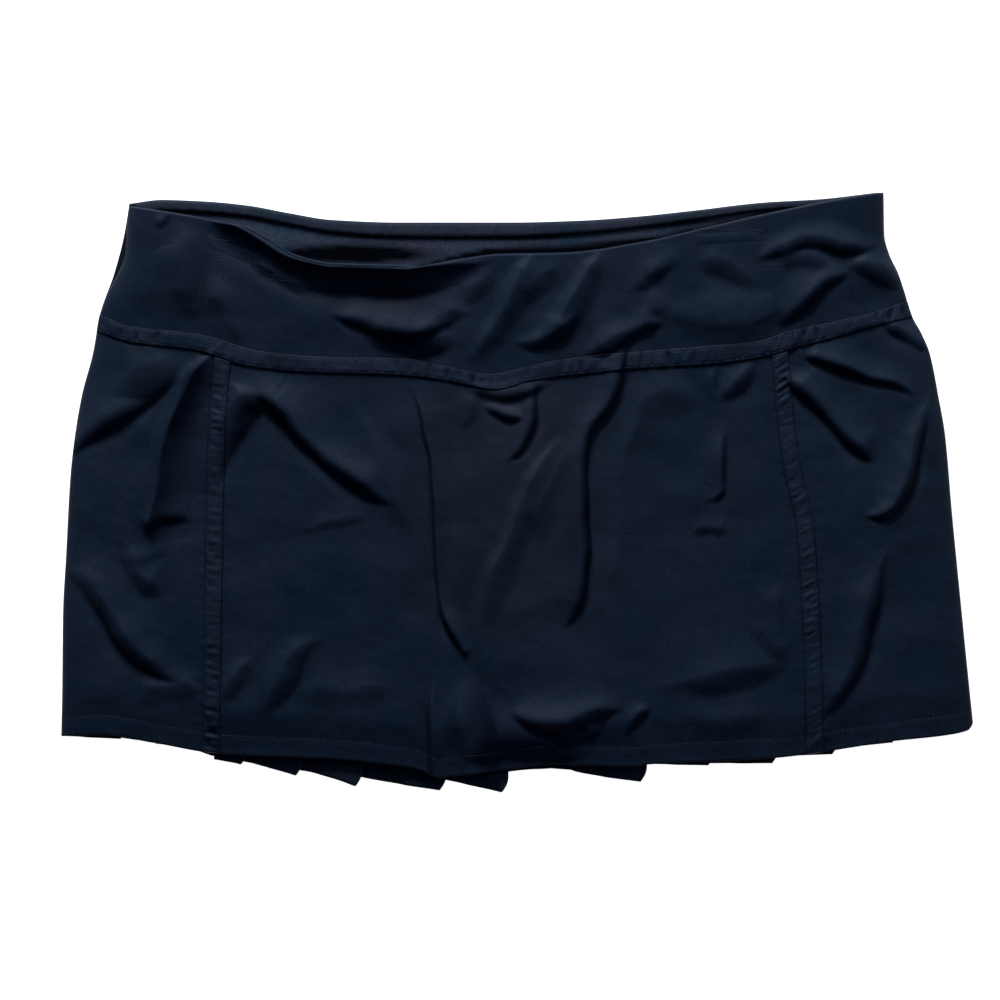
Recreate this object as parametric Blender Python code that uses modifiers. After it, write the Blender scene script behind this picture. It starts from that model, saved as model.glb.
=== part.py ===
"""A tennis skort, laid flat with its front up.

Lengths below are millimetres: +X to the viewer's right, +Y from hem to waist, +Z up from the table.
Each piece of cloth is a grid of points on one of its faces, thickened into a wall by Solidify.
"""
import math
from collections import namedtuple

import bmesh
import bpy
import numpy as np

MM = 0.001
COLLECTION_NAME = "tennis_skort"

# Driving dimensions
WALL = 1.1              # thickness of a layer of cloth
TRIM_WALL = 1.0         # thickness of tapes, welts and facing
SEAM_GAP = 0.3          # between two pieces that are sewn together
WELT_GAP = 0.45         # under a pocket welt, which crosses the band's grid lines
LAYER_PITCH = 1.5       # from one folded layer to the next
TAPE_HALF = 4.5         # half the width of the tapes on the princess seams
HEM_DEPTH = 11.5        # turn-up of the skirt's hem
CASING_ARCH = 0.9       # how far the back casing stands off the band between its two edges
FACING_PROUD = 1.2      # how far the facing stands above the band where the lip rolls out
LIP_LEFT = -168.0       # the stretch of the band's top edge that rolls out
LIP_RIGHT = -14.0
LIP_BLEND = 20.0        # run over which that roll starts and ends
LEFT_WELT = (-176.0, -138.0)
RIGHT_WELT = (101.0, 139.0)

SIDE_HEIGHT = 2.4       # top of the front cloth at the garment's side edges
SHOULDER = 24.0         # how far in from a side edge the front reaches its full height
SKIRT_HEIGHT = 10.3     # top of the front skirt between its folds
SKIRT_FLOOR = 8.6       # lowest that a fold takes the front skirt, clear of the shorts
HEM_HEIGHT = 6.6
HEM_FLOOR = 5.7
HEM_RISE = 28.0         # how far above the hem the skirt reaches its full height
BAND_EXTRA = 1.7        # how much higher the waistband stands at its open mouth
BAND_RISE = 26.0
FOLD_FADE = 0.26        # share of a fold's path over which it fades at either end
TAPE_HOLD = 0.45        # share of a fold's height that the waist tape takes away
PRINCESS_HOLD = 0.35    # and the tape on a princess seam
HOLD_REACH = 8.0        # how far from a seam that works
FLOOR_BLEND = 1.0       # height over which folds level out on to the floor

Mark = namedtuple("Mark", "at value")
Fold = namedtuple("Fold", "name rise wall run path")
Swell = namedtuple("Swell", "name x y wide long rise")
Pleat = namedtuple("Pleat", "fold hem_start hem_tip")


def curve(rows):
    """Smooth function through rows of (at, value) that never swings past them, level beyond its ends."""
    marks = [Mark(*row) for row in rows]
    at = np.array([mark.at for mark in marks], float)
    value = np.array([mark.value for mark in marks], float)
    secant = np.diff(value) / np.diff(at)
    before, after = secant[:-1], secant[1:]
    same_way = before * after > 0
    inner = np.where(same_way, 2 * before * after / np.where(same_way, before + after, 1), 0)
    slope = np.concatenate([secant[:1], inner, secant[-1:]])

    def read(x):
        x = np.clip(x, at[0], at[-1])
        i = np.clip(np.searchsorted(at, x) - 1, 0, len(at) - 2)
        step = at[i + 1] - at[i]
        t = (x - at[i]) / step
        start = (1 + 2 * t) * (1 - t) ** 2 * value[i] + t * (1 - t) ** 2 * step * slope[i]
        end = t * t * (3 - 2 * t) * value[i + 1] + t * t * (t - 1) * step * slope[i + 1]
        return start + end

    return read


def smooth(t):
    """0 to 1 with level ends."""
    t = np.clip(t, 0.0, 1.0)
    return t * t * (3 - 2 * t)


# Side edges and the two princess seams: x for each y
left_side = curve([
    (-139, -260.1), (-115, -259.6), (-69, -259.1), (-35, -257.3), (10, -254.8), (33, -252.2),
    (56, -248.2), (79, -242.1), (102, -237.9), (125, -229.9), (147, -224.2), (166, -221.1),
])
right_side = curve([
    (-131, 260.2), (-104, 257.4), (-58, 252.8), (-12, 248.3), (33, 244.3), (56, 240.3),
    (79, 235.7), (90, 231.2), (102, 224.8), (113, 221.6), (125, 217.6), (136, 212.4), (147, 209.6),
    (170, 209.2),
])
left_princess = curve([
    (-146, -173.8), (-85, -172.7), (7, -171.0), (44, -169.9), (75, -167.0), (120, -158.0),
    (165, -150.0),
])
right_princess = curve([
    (-149, 169.3), (-85, 167.6), (-21, 163.6), (13, 156.2), (50, 151.6), (77, 149.3), (120, 145.0),
    (170, 141.0),
])

# Lines across the garment: y for each x
back_top = curve([
    (-221, 164.9), (-203, 167.1), (-178, 166.2), (-154, 163.9), (-130, 159.5), (-106, 155.7),
    (-67, 154.2), (-3, 154.2), (37, 155.3), (69, 157.6), (101, 161.0), (141, 165.6), (173, 167.5),
    (205, 171.2),
])
casing_width = curve([
    (-215, 6.4), (-126, 7.0), (-79, 8.3), (-32, 8.9), (45, 7.4), (99, 5.8), (154, 4.4), (200, 3.6),
])
front_top = curve([
    (-221, 163.0), (-206, 160.5), (-175, 155.3), (-160, 151.7), (-143, 143.4), (-126, 133.0),
    (-105, 128.0), (-66, 126.8), (-32, 132.5), (-10, 135.4), (27, 136.2), (72, 142.5), (101, 149.0),
    (141, 158.2), (183, 166.7), (209, 170.9),
])
tape_top = curve([
    (-238, 101.6), (-220, 94.3), (-181, 89.8), (-143, 79.8), (-105, 76.8), (-66, 76.2), (-41, 71.6),
    (-15, 67.1), (6, 71.6), (27, 75.6), (67, 79.8), (114, 83.5), (136, 85.5), (154, 91.6), (181, 97.2),
    (200, 101.6), (221, 108.6),
])
tape_bottom = curve([
    (-238, 91.6), (-220, 85.3), (-181, 80.4), (-153, 71.6), (-124, 68.5), (-66, 66.4), (-41, 63.4),
    (-12, 58.5), (8, 63.4), (27, 65.8), (70, 70.2), (114, 73.0), (145, 78.0), (157, 81.6), (181, 88.1),
    (199, 93.4), (223, 99.8),
])
back_seam = curve([(-239, 96.6), (-120, 88.0), (-6, 84.1), (110, 91.0), (223, 104.0)])
front_hem = curve([
    (-260.1, -138.9), (-234, -137.9), (-209, -141.9), (-172, -148.4), (-143, -150.2), (-105, -151.9),
    (-59, -157.0), (-44, -162.2), (-34, -161.0), (-3, -157.6), (19, -154.8), (67, -156.3), (74, -154.8),
    (136, -151.9), (167, -148.8), (185, -145.9), (213, -141.6), (245, -138.0), (257, -135.4),
    (260.2, -131.4),
])


def front_seam(x):
    """The waist seam, under the middle of its tape."""
    return (tape_top(x) + tape_bottom(x)) / 2


# Folds of the front. Each has a steep wall under its path, which climbs to the left of it, and a gentle side
# that falls away beyond the wall's top. rise: height of the crest. wall and run: widths of those two sides.
FOLDS = [
    Fold("left_ridge", 5.6, 22, 15, [(-203, -27), (-195, 6), (-188, 32), (-180, 58), (-172, 80)]),
    Fold("left_hook", 3.2, 9, 14, [(-214, -31), (-206, -20), (-196, -16), (-182, -20)]),
    Fold("left_crescent", 2.6, 10, 20, [(-223, -28), (-219, -45), (-212, -54), (-200, -59)]),
    Fold("left_crease", 4.5, 9, 26, [(-256, 23), (-231, 38), (-213, 49), (-188, 63)]),
    Fold("left_long", 5.3, 10, 26, [(-258, -42), (-236, -64), (-226, -83), (-205, -102), (-188, -107)]),
    Fold("left_diagonal", 6.3, 9, 30, [(-152, 61), (-130, 39), (-100, 11), (-68, -9)]),
    Fold("left_arm", 3.2, 13, 15, [(-168, -4), (-163, 18), (-154, 36), (-142, 52)]),
    Fold("low_left", 2.6, 9, 14, [(-148, -127), (-136, -110), (-122, -91)]),
    Fold("centre_left_wall", 4.0, 8, 24, [(-66, 66), (-52, 35), (-47, 0), (-45, -50), (-28, -95)]),
    Fold("centre_right_wall", 5.4, 8, 22, [(20, -86), (35, -66), (38, -24), (36, 15), (51, 48), (63, 88)]),
    Fold("centre_streak", 2.6, 9, 14, [(-14, -66), (-1, -34), (9, -10), (24, 16)]),
    Fold("under_tape_curl", 3.2, 8, 17, [(-8, 14), (-3, 17), (6, 28), (9, 46), (9, 68)]),
    Fold("right_mid", 2.4, 8, 18, [(103, -8), (118, 1), (117, 25), (119, 44)]),
    Fold("right_dip", 4.0, 13, 32, [(76, -112), (112, -110), (140, -106), (160, -98)]),
    Fold("right_upper", 4.0, 9, 16, [(161, 77), (182, 70), (214, 61), (230, 54)]),
    Fold("right_crease", 4.8, 9, 22, [(151, 69), (165, 54), (189, 28), (206, 13)]),
    Fold("right_hook", 5.0, 9, 17, [(194, -14), (208, -14), (222, 4), (229, 39), (236, 54)]),
    Fold("right_low", 5.0, 11, 26, [(168, -132), (193, -92), (203, -50), (212, -27)]),
    Fold("hem_swell", 6.2, 10, 24, [(-11, -123), (7, -131), (21, -134), (43, -125), (62, -122)]),
    Fold("hem_ridge", 3.9, 8, 12, [(-46, -100), (-50, -122), (-49, -148), (-44, -190)]),
    Fold("hem_ridge_fall", 4.6, 15, 11, [(-18, -190), (-23, -150), (-27, -128), (-31, -98)]),
    Fold("lip", 7.4, 11, 40, [(-176, 154), (-142, 135), (-122, 125), (-70, 121), (-36, 127), (-12, 132)]),
    Fold("band_swell", 5.3, 10, 20, [(-110, 101), (-90, 97), (-68, 85), (-55, 84), (-34, 107)]),
    Fold("band_ridge_left", 4.0, 9, 12, [(-26, 73), (-10, 90), (2, 110), (12, 137)]),
    Fold("band_ridge_right", 4.2, 9, 14, [(-2, 86), (12, 85), (22, 89), (38, 112), (48, 135)]),
    Fold("band_streak", 3.8, 9, 16, [(36, 79), (54, 84), (82, 97)]),
    Fold("band_wave", 3.0, 9, 13, [(133, 132), (166, 144), (190, 137), (210, 143)]),
    Fold("band_slant", 3.0, 9, 17, [(149, 94), (175, 119), (191, 126)]),
    Fold("band_left_swell", 2.8, 14, 19, [(-180, 93), (-184, 118), (-192, 145)]),
]

# Soft mounds under the front cloth. x, y: the middle. wide, long: half widths across and down. rise: height.
SWELLS = [
    Swell("centre_plateau", -4, 0, 36, 72, 2.2),
    Swell("band_left_patch", -204, 130, 16, 20, 0.8),
    Swell("right_bulge", 205, 20, 18, 26, 0.9),
]

# The back's knife pleats. fold: x of the folded edge at the hem. hem_start and hem_tip: y of the hem where
# that pleat's cloth comes out from under its neighbour, and at its own folded edge.
PLEATS = [
    Pleat(-227.4, -139.0, -140.4),
    Pleat(-192.1, -139.9, -144.9),
    Pleat(-158.6, -144.4, -154.9),
    Pleat(-127.3, -153.4, -161.2),
    Pleat(-93.3, -158.4, -167.3),
    Pleat(-45.3, -161.3, -169.7),
    Pleat(-9.8, -163.4, -170.8),
    Pleat(30.8, -161.0, -156.6),
    Pleat(69.2, -158.4, -164.8),
    Pleat(107.7, -155.0, -155.5),
    Pleat(144.2, -154.7, -154.3),
    Pleat(178.4, -150.6, -149.2),
    Pleat(212.6, -146.4, -142.6),
]
PLEAT_DEPTH = 14.0
PLEAT_RAMP = 7.0        # run over which a pleat's cloth climbs on to the fold beneath it
PLEAT_CLEAR = 3.0       # the climb ends this far short of that fold
PLEAT_SHORT = 1.0       # how much higher the hem lies on the fold inside a pleat
FACE_LEVEL = 2.0        # a pleat's face lies this many layers up where it covers its neighbour
BACK_HEM_LEFT = -138.6
BACK_HEM_RIGHT = -131.4

# The shorts: x of a leg's outer and inner lines for each y
shorts_left_outer = curve([(-120, -212), (-20, -214), (92, -209)])
shorts_right_outer = curve([(-120, 212), (-20, 211), (100, 197)])
inseam = curve([(-120, 17), (-85, 9), (-72, 2), (-62, SEAM_GAP / 2), (90, SEAM_GAP / 2)])
SHORTS_CENTRE = -4.0
SHORTS_HEM = -119.0
SHORTS_DROP = 1.0       # the shorts start this far below the waist seams
SHORTS_BACK_LAYER = 3   # layers of cloth under the shorts' back and front
SHORTS_FRONT_LAYER = 4

# Grids
FRONT_ROWS = 24         # steps from tape to hem
CENTRE_COLUMNS = 36     # steps across the centre panel, between its tapes
SIDE_COLUMNS = 5        # steps across a side panel, between its shoulder and its tape
SHOULDER_STEPS = [0.0, 3.0, 8.0, 16.0, 26.0]
BAND_ROWS = [0.0, 0.15, 0.29, 0.43, 0.57, 0.71, 0.86, 1.0]
BACK_ROWS = [0.35, 0.7, 1.0]
BACK_COLUMNS = 28
FACING_ENDS = 2         # columns that the facing stops short of the side edges
CASING_ENDS = 0.4       # and the back casing
LEFT_WELT_ROWS = (1.05, 1.85)       # the left welt's two edges, in rows of the band
RIGHT_WELT_TOP = (0.12, 0.75)       # the right one slants: its rows at the left and at the right end
RIGHT_WELT_BOTTOM = (0.56, 1.36)
PLEAT_ROWS = [0.0, 0.1, 0.25, 0.5, 0.75, 1.0]
SHORTS_ROWS = [0.0, 0.25, 0.5, 0.75, 0.88, 1.0]
SHORTS_COLUMNS = 8
FOLD_STEPS = 4          # straight steps round a folded edge
PATH_STEPS = 14         # points on a fold's path
CROSSING_STEPS = 12     # repeats that bring two crossing lines to their common point


def sample_path(path):
    """Evenly spaced points on a smooth line through the path's own points."""
    points = np.array(path, float)
    run = np.concatenate([[0], np.cumsum(np.hypot(*np.diff(points, axis=0).T))])
    steps = np.linspace(0, run[-1], PATH_STEPS)
    along_x = curve(zip(run, points[:, 0]))(steps)
    along_y = curve(zip(run, points[:, 1]))(steps)
    return np.stack([along_x, along_y], axis=1)


def fold_height(fold, x, y):
    """Height that one fold adds at each point."""
    line = sample_path(fold.path)
    nearest = np.full(np.shape(x), np.inf)
    side = np.zeros(np.shape(x))
    along = np.zeros(np.shape(x))
    for i, (start, end) in enumerate(zip(line[:-1], line[1:])):
        step = end - start
        t = np.clip(((x - start[0]) * step[0] + (y - start[1]) * step[1]) / (step @ step), 0, 1)
        away_x = x - start[0] - t * step[0]
        away_y = y - start[1] - t * step[1]
        away = np.hypot(away_x, away_y)
        closer = away < nearest
        nearest = np.where(closer, away, nearest)
        side = np.where(closer, np.sign(step[0] * away_y - step[1] * away_x), side)
        along = np.where(closer, (i + t) / (len(line) - 1), along)
    past_wall = nearest * side + fold.wall / 2
    climb = smooth(past_wall / fold.wall)
    fall = (1 - np.clip((past_wall - fold.wall) / fold.run, 0, 1)) ** 2
    return fold.rise * climb * fall * smooth(np.minimum(along, 1 - along) / FOLD_FADE)


def swell_height(swell, x, y):
    """Height that one mound adds at each point."""
    return swell.rise * np.exp(-(((x - swell.x) / swell.wide) ** 2) - ((y - swell.y) / swell.long) ** 2)


def held(distance, share):
    """What is left of the folds' height at a distance from a taped seam."""
    return 1 - share * np.exp(-((distance / HOLD_REACH) ** 2))


def front_height(x, y):
    """Top of the front cloth at each point."""
    above_hem = smooth((y - front_hem(x)) / HEM_RISE)
    up_band = smooth((y - tape_top(x)) / BAND_RISE)
    base = HEM_HEIGHT + (SKIRT_HEIGHT - HEM_HEIGHT) * above_hem + BAND_EXTRA * up_band
    floor = HEM_FLOOR + (SKIRT_FLOOR - HEM_FLOOR) * above_hem
    folds = sum(fold_height(fold, x, y) for fold in FOLDS)
    folds += sum(swell_height(swell, x, y) for swell in SWELLS)
    folds *= held(y - front_seam(x), TAPE_HOLD)
    for princess in (left_princess, right_princess):
        folds *= np.where(y < front_seam(x), held(x - princess(y), PRINCESS_HOLD), 1)
    over = base + folds - floor
    height = floor + (over + np.sqrt(over * over + FLOOR_BLEND)) / 2
    from_side = np.minimum(x - left_side(y), right_side(y) - x)
    rise = np.sqrt(1 - (1 - np.clip(from_side / SHOULDER, 0, 1)) ** 2)
    return SIDE_HEIGHT + (height - SIDE_HEIGHT) * rise


def crossing(column, row):
    """Where a line down the garment, x of y, meets a line across it, y of x."""
    y = 0.0
    for _ in range(CROSSING_STEPS):
        y = float(row(column(y)))
    return float(column(y)), y


def grid_points(columns, rows, height):
    """Points of a panel, a row of the array for each line across it."""
    points = np.array([[(*crossing(column, row), 0.0) for column in columns] for row in rows])
    points[:, :, 2] = height(points[:, :, 0], points[:, :, 1])
    return points


def offset_points(points, distance):
    """The same grid moved along its own normals."""
    along = np.gradient(points, axis=1)
    down = np.gradient(points, axis=0)
    normal = np.cross(down, along)
    normal /= np.linalg.norm(normal, axis=2, keepdims=True)
    return points + normal * distance


def patch(points, columns, top, bottom, middle=1):
    """A strip of a panel between two rows, read from the panel's own grid.

    columns: first and last column; top and bottom: row at the first column and at the last one. All four may
    fall between grid lines. The strip has the panel's columns inside it, and middle + 1 steps down.
    """
    first, last = columns
    inside = np.arange(math.floor(first) + 1, math.ceil(last))
    across = np.concatenate([[first], inside, [last]])
    share = (across - first) / (last - first)
    upper = top[0] + (top[1] - top[0]) * share
    lower = bottom[0] + (bottom[1] - bottom[0]) * share
    strip = []
    for k in np.linspace(0, 1, middle + 2):
        row = upper + (lower - upper) * k
        i = np.clip(np.floor(row).astype(int), 0, points.shape[0] - 2)
        j = np.clip(np.floor(across).astype(int), 0, points.shape[1] - 2)
        v = (row - i)[:, None]
        u = (across - j)[:, None]
        above = points[i, j] * (1 - u) + points[i, j + 1] * u
        below = points[i + 1, j] * (1 - u) + points[i + 1, j + 1] * u
        strip.append(above * (1 - v) + below * v)
    return np.array(strip)


def make_material(name, colour, roughness):
    material = bpy.data.materials.new(name)
    material.use_nodes = True
    shader = material.node_tree.nodes["Principled BSDF"]
    shader.inputs["Base Color"].default_value = (*colour, 1.0)
    shader.inputs["Roughness"].default_value = roughness
    shader.inputs["Metallic"].default_value = 0.0
    material.diffuse_color = (*colour, 1.0)
    return material


def make_cloth(name, points, thickness, side, material):
    """One piece of cloth: a grid laid on the points, thickened by Solidify.

    side is -1 where the points are the upper face, 1 where they are the lower one and 0 at the middle.
    """
    rows, columns = points.shape[:2]
    mesh = bpy.data.meshes.new(name)
    form = bmesh.new()
    bmesh.ops.create_grid(form, x_segments=columns - 1, y_segments=rows - 1, size=1.0)
    for vertex in form.verts:
        column = round((vertex.co.x + 1) / 2 * (columns - 1))
        row = round((1 - vertex.co.y) / 2 * (rows - 1))
        vertex.co = points[row, column] * MM
    form.to_mesh(mesh)
    form.free()
    mesh.shade_smooth()
    piece = bpy.data.objects.new(name, mesh)
    piece.data.materials.append(material)
    bpy.data.collections[COLLECTION_NAME].objects.link(piece)
    wall = piece.modifiers.new("wall", "SOLIDIFY")
    wall.thickness = thickness * MM
    wall.offset = side
    return piece


def shifted(line, distance):
    """The same line moved sideways or up by a distance."""
    return lambda at: line(at) + distance


def between(first, second, share):
    """A line part of the way from one line to another."""
    return lambda at: first(at) + (second(at) - first(at)) * share


def side_columns(edge, tape_edge, inward):
    """Columns of a side panel, from its side edge to its tape. inward is 1 on the left, -1 on the right."""
    shoulder = [shifted(edge, inward * step) for step in SHOULDER_STEPS]
    rest = [between(shoulder[-1], tape_edge, k / SIDE_COLUMNS) for k in range(1, SIDE_COLUMNS + 1)]
    return shoulder + rest


def front_columns():
    """Columns of the left side panel, the centre panel and the right side panel, from left to right."""
    half_gap = SEAM_GAP / 2
    left = side_columns(left_side, shifted(left_princess, -TAPE_HALF), 1)
    left.append(shifted(left_princess, -half_gap))
    right = side_columns(right_side, shifted(right_princess, TAPE_HALF), -1)
    right.append(shifted(right_princess, half_gap))
    start = shifted(left_princess, TAPE_HALF)
    end = shifted(right_princess, -TAPE_HALF)
    centre = [shifted(left_princess, half_gap)]
    centre += [between(start, end, k / CENTRE_COLUMNS) for k in range(CENTRE_COLUMNS + 1)]
    centre.append(shifted(right_princess, -half_gap))
    return left, centre, right[::-1]


def skirt_rows():
    """Lines across the front skirt: the seam, the tape's lower edge, and on down to the hem."""
    turn_up = shifted(front_hem, HEM_DEPTH)
    rows = [shifted(front_seam, -SEAM_GAP / 2)]
    rows += [between(tape_bottom, turn_up, k / (FRONT_ROWS - 1)) for k in range(FRONT_ROWS)]
    rows.append(front_hem)
    return rows


def band_rows():
    rows = [between(front_top, tape_top, share) for share in BAND_ROWS]
    rows.append(shifted(front_seam, SEAM_GAP / 2))
    return rows


def make_front(cloth, trim):
    left, centre, right = front_columns()
    rows = skirt_rows()
    left_panel = grid_points(left, rows, front_height)
    centre_panel = grid_points(centre, rows, front_height)
    right_panel = grid_points(right, rows, front_height)
    make_cloth("front_side_panel_left", left_panel, WALL, -1, cloth)
    make_cloth("front_centre_panel", centre_panel, WALL, -1, cloth)
    make_cloth("front_side_panel_right", right_panel, WALL, -1, cloth)

    # over a princess seam the band has one column, where the two panels have one each
    band_columns = left[:-1] + [left_princess] + centre[1:-1] + [right_princess] + right[1:]
    band = grid_points(band_columns, band_rows(), front_height)
    make_cloth("front_waistband", band, WALL, -1, cloth)

    make_princess_tape("princess_tape_left", left_panel[:, -2:], centre_panel[:, :2], trim)
    make_princess_tape("princess_tape_right", centre_panel[:, -2:], right_panel[:, :2], trim)
    make_waist_tapes(band, left_panel, centre_panel, right_panel, trim)
    make_facing(band, trim)
    make_welts(band, band_columns, trim)


def make_princess_tape(name, left_part, right_part, trim):
    """The tape over a princess seam, from the waist tape down to the hem."""
    seam = (left_part[:, -1:] + right_part[:, :1]) / 2
    lower = np.concatenate([left_part[:, :1], seam, right_part[:, -1:]], axis=1)[1:]
    step = lower[1] - lower[0]
    lower[0] += step * 2 * SEAM_GAP / np.linalg.norm(step, axis=1, keepdims=True)
    make_cloth(name, offset_points(lower, SEAM_GAP), TRIM_WALL, 1, trim)


def make_waist_tapes(band, left_panel, centre_panel, right_panel, trim):
    """The tape over the waist seam, in three lengths that meet above the princess seams."""
    left_seam = (left_panel[:, -1:] + centre_panel[:, :1]) / 2
    right_seam = (centre_panel[:, -1:] + right_panel[:, :1]) / 2
    parts = [left_panel[:, :-1], left_seam, centre_panel[:, 1:-1], right_seam, right_panel[:, 1:]]
    skirt = np.concatenate(parts, axis=1)
    under = offset_points(np.array([band[-2], (band[-1] + skirt[0]) / 2, skirt[1]]), SEAM_GAP)
    cuts = [0, left_panel.shape[1] - 2, under.shape[1] - right_panel.shape[1] + 1, under.shape[1] - 1]
    for name, first, last in zip(("left", "centre", "right"), cuts[:-1], cuts[1:]):
        length = under[:, first:last + 1].copy()
        if first > 0:
            length[:, 0] += (length[:, 1] - length[:, 0]) * SEAM_GAP / TAPE_HALF
        make_cloth(f"waist_tape_{name}", length, TRIM_WALL, 1, trim)


def make_facing(band, trim):
    """The facing behind the band's top edge, standing a little above it where the lip rolls out."""
    upper = offset_points(band, -WALL - SEAM_GAP)[0:2, FACING_ENDS:-FACING_ENDS].copy()
    x = upper[0, :, 0]
    rolled = smooth((x - LIP_LEFT) / LIP_BLEND) * smooth((LIP_RIGHT - x) / LIP_BLEND)
    upper[0, :, 1] += FACING_PROUD * rolled
    make_cloth("front_waist_facing", upper, TRIM_WALL, -1, trim)


def make_welts(band, columns, trim):
    """The welts of the two pockets, each a strip just below the band's top edge."""
    at_top = np.array([column(150.0) for column in columns])
    column_at = lambda x: float(np.interp(x, at_top, np.arange(len(columns))))
    top, bottom = LEFT_WELT_ROWS
    left = patch(band, [column_at(x) for x in LEFT_WELT], (top, top), (bottom, bottom))
    right = patch(band, [column_at(x) for x in RIGHT_WELT], RIGHT_WELT_TOP, RIGHT_WELT_BOTTOM)
    make_cloth("pocket_welt_left", offset_points(left, WELT_GAP), TRIM_WALL, 1, trim)
    make_cloth("pocket_welt_right", offset_points(right, WELT_GAP), TRIM_WALL, 1, trim)


def make_back_band(cloth, trim):
    columns = [between(left_side, right_side, k / BACK_COLUMNS) for k in range(BACK_COLUMNS + 1)]
    casing_line = lambda x: back_top(x) - casing_width(x)
    rows = [back_top, casing_line]
    rows += [between(casing_line, shifted(back_seam, SEAM_GAP / 2), share) for share in BACK_ROWS]
    flat = lambda x, y: np.full(np.shape(x), WALL)
    band = grid_points(columns, rows, flat)
    make_cloth("back_waistband", band, WALL, -1, cloth)

    # the casing is a low arch from its stitched lower edge to the top edge
    casing = patch(band, (CASING_ENDS, BACK_COLUMNS - CASING_ENDS), (0.0, 0.0), (1.0, 1.0))
    casing[:, :, 2] += SEAM_GAP
    casing[1, :, 2] += CASING_ARCH
    make_cloth("back_waist_casing", casing, TRIM_WALL, 1, trim)


def pleat_columns():
    """Columns of the pleated back: (x at the hem, level, height of the hem)."""
    columns = []
    radius = LAYER_PITCH / 2
    hem_left = float(left_side(BACK_HEM_LEFT))
    columns.append((hem_left, 0.0, BACK_HEM_LEFT))
    start = hem_left
    for pleat, after in zip(PLEATS, PLEATS[1:] + [None]):
        tuck = pleat.fold - PLEAT_DEPTH
        hem_slope = (pleat.hem_tip - pleat.hem_start) / (pleat.fold - start)
        next_start = after.hem_start if after else pleat.hem_tip + PLEAT_SHORT
        for x, level in ((tuck - PLEAT_CLEAR - PLEAT_RAMP, 0.0), (tuck - PLEAT_CLEAR, FACE_LEVEL)):
            columns.append((x, level, pleat.hem_start + hem_slope * (x - start)))
        for k in range(FOLD_STEPS + 1):
            angle = math.pi * k / FOLD_STEPS
            level = FACE_LEVEL - (1 - math.cos(angle)) / 2
            columns.append((pleat.fold - radius + radius * math.sin(angle), level, pleat.hem_tip))
        for k in range(FOLD_STEPS + 1):
            angle = math.pi * k / FOLD_STEPS
            level = (1 + math.cos(angle)) / 2
            columns.append((tuck + radius - radius * math.sin(angle), level, next_start + PLEAT_SHORT))
        columns.append((pleat.fold, 0.0, next_start))
        start = pleat.fold
    columns.append((float(right_side(BACK_HEM_RIGHT)), 0.0, BACK_HEM_RIGHT))
    return columns


def make_pleated_back(cloth):
    hem_left = float(left_side(BACK_HEM_LEFT))
    hem_right = float(right_side(BACK_HEM_RIGHT))
    top = shifted(back_seam, -SEAM_GAP / 2)
    points = []
    for share in PLEAT_ROWS:
        row = []
        for x, level, hem in pleat_columns():
            column = between(left_side, right_side, (x - hem_left) / (hem_right - hem_left))
            line = lambda at, hem=hem: top(at) + (hem - top(at)) * share
            row.append((*crossing(column, line), WALL / 2 + level * LAYER_PITCH))
        points.append(row)
    make_cloth("back_pleated_panel", np.array(points), WALL, 0, cloth)


def make_shorts(name, outer, side, liner):
    """Half of the shorts: a layer at the front, round the hip, and a layer behind."""
    front_level = SHORTS_FRONT_LAYER * LAYER_PITCH + WALL / 2
    back_level = SHORTS_BACK_LAYER * LAYER_PITCH + WALL / 2
    radius = (front_level - back_level) / 2
    inner = lambda y: SHORTS_CENTRE + side * inseam(y)
    columns = []
    for k in range(SHORTS_COLUMNS):
        columns.append((k / SHORTS_COLUMNS, 0.0, front_level))
    for k in range(FOLD_STEPS + 1):
        angle = math.pi * k / FOLD_STEPS
        level = back_level + radius * (1 + math.cos(angle))
        columns.append((1.0, side * radius * (math.sin(angle) - 1), level))
    for k in reversed(range(SHORTS_COLUMNS)):
        columns.append((k / SHORTS_COLUMNS, 0.0, back_level))
    hem = lambda at: SHORTS_HEM + 0 * at
    points = []
    for share_down in SHORTS_ROWS:
        row = []
        for share, shift, level in columns:
            column = shifted(between(inner, outer, share), shift)
            behind = (front_level - level) / (front_level - back_level)
            top = shifted(between(front_seam, back_seam, behind), -SHORTS_DROP)
            row.append((*crossing(column, between(top, hem, share_down)), level))
        points.append(row)
    make_cloth(name, np.array(points), WALL, 0, liner)


def main():
    for thing in list(bpy.data.objects):
        bpy.data.objects.remove(thing)
    collection = bpy.data.collections.new(COLLECTION_NAME)
    bpy.context.scene.collection.children.link(collection)
    cloth = make_material("navy_woven", (0.009, 0.012, 0.022), 0.82)
    trim = make_material("navy_tape", (0.013, 0.018, 0.031), 0.75)
    liner = make_material("navy_knit", (0.010, 0.013, 0.020), 0.9)
    make_pleated_back(cloth)
    make_back_band(cloth, trim)
    make_shorts("shorts_left", shorts_left_outer, -1, liner)
    make_shorts("shorts_right", shorts_right_outer, 1, liner)
    make_front(cloth, trim)


main()
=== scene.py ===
"""Looks of a tennis skort, laid flat with its front up.

Lengths in the tables are millimetres: +X to the viewer's right, +Y from hem to waist, +Z up from the table.
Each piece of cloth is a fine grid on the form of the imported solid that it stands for, thickened into a shell.
"""
import math
from collections import namedtuple

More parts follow.
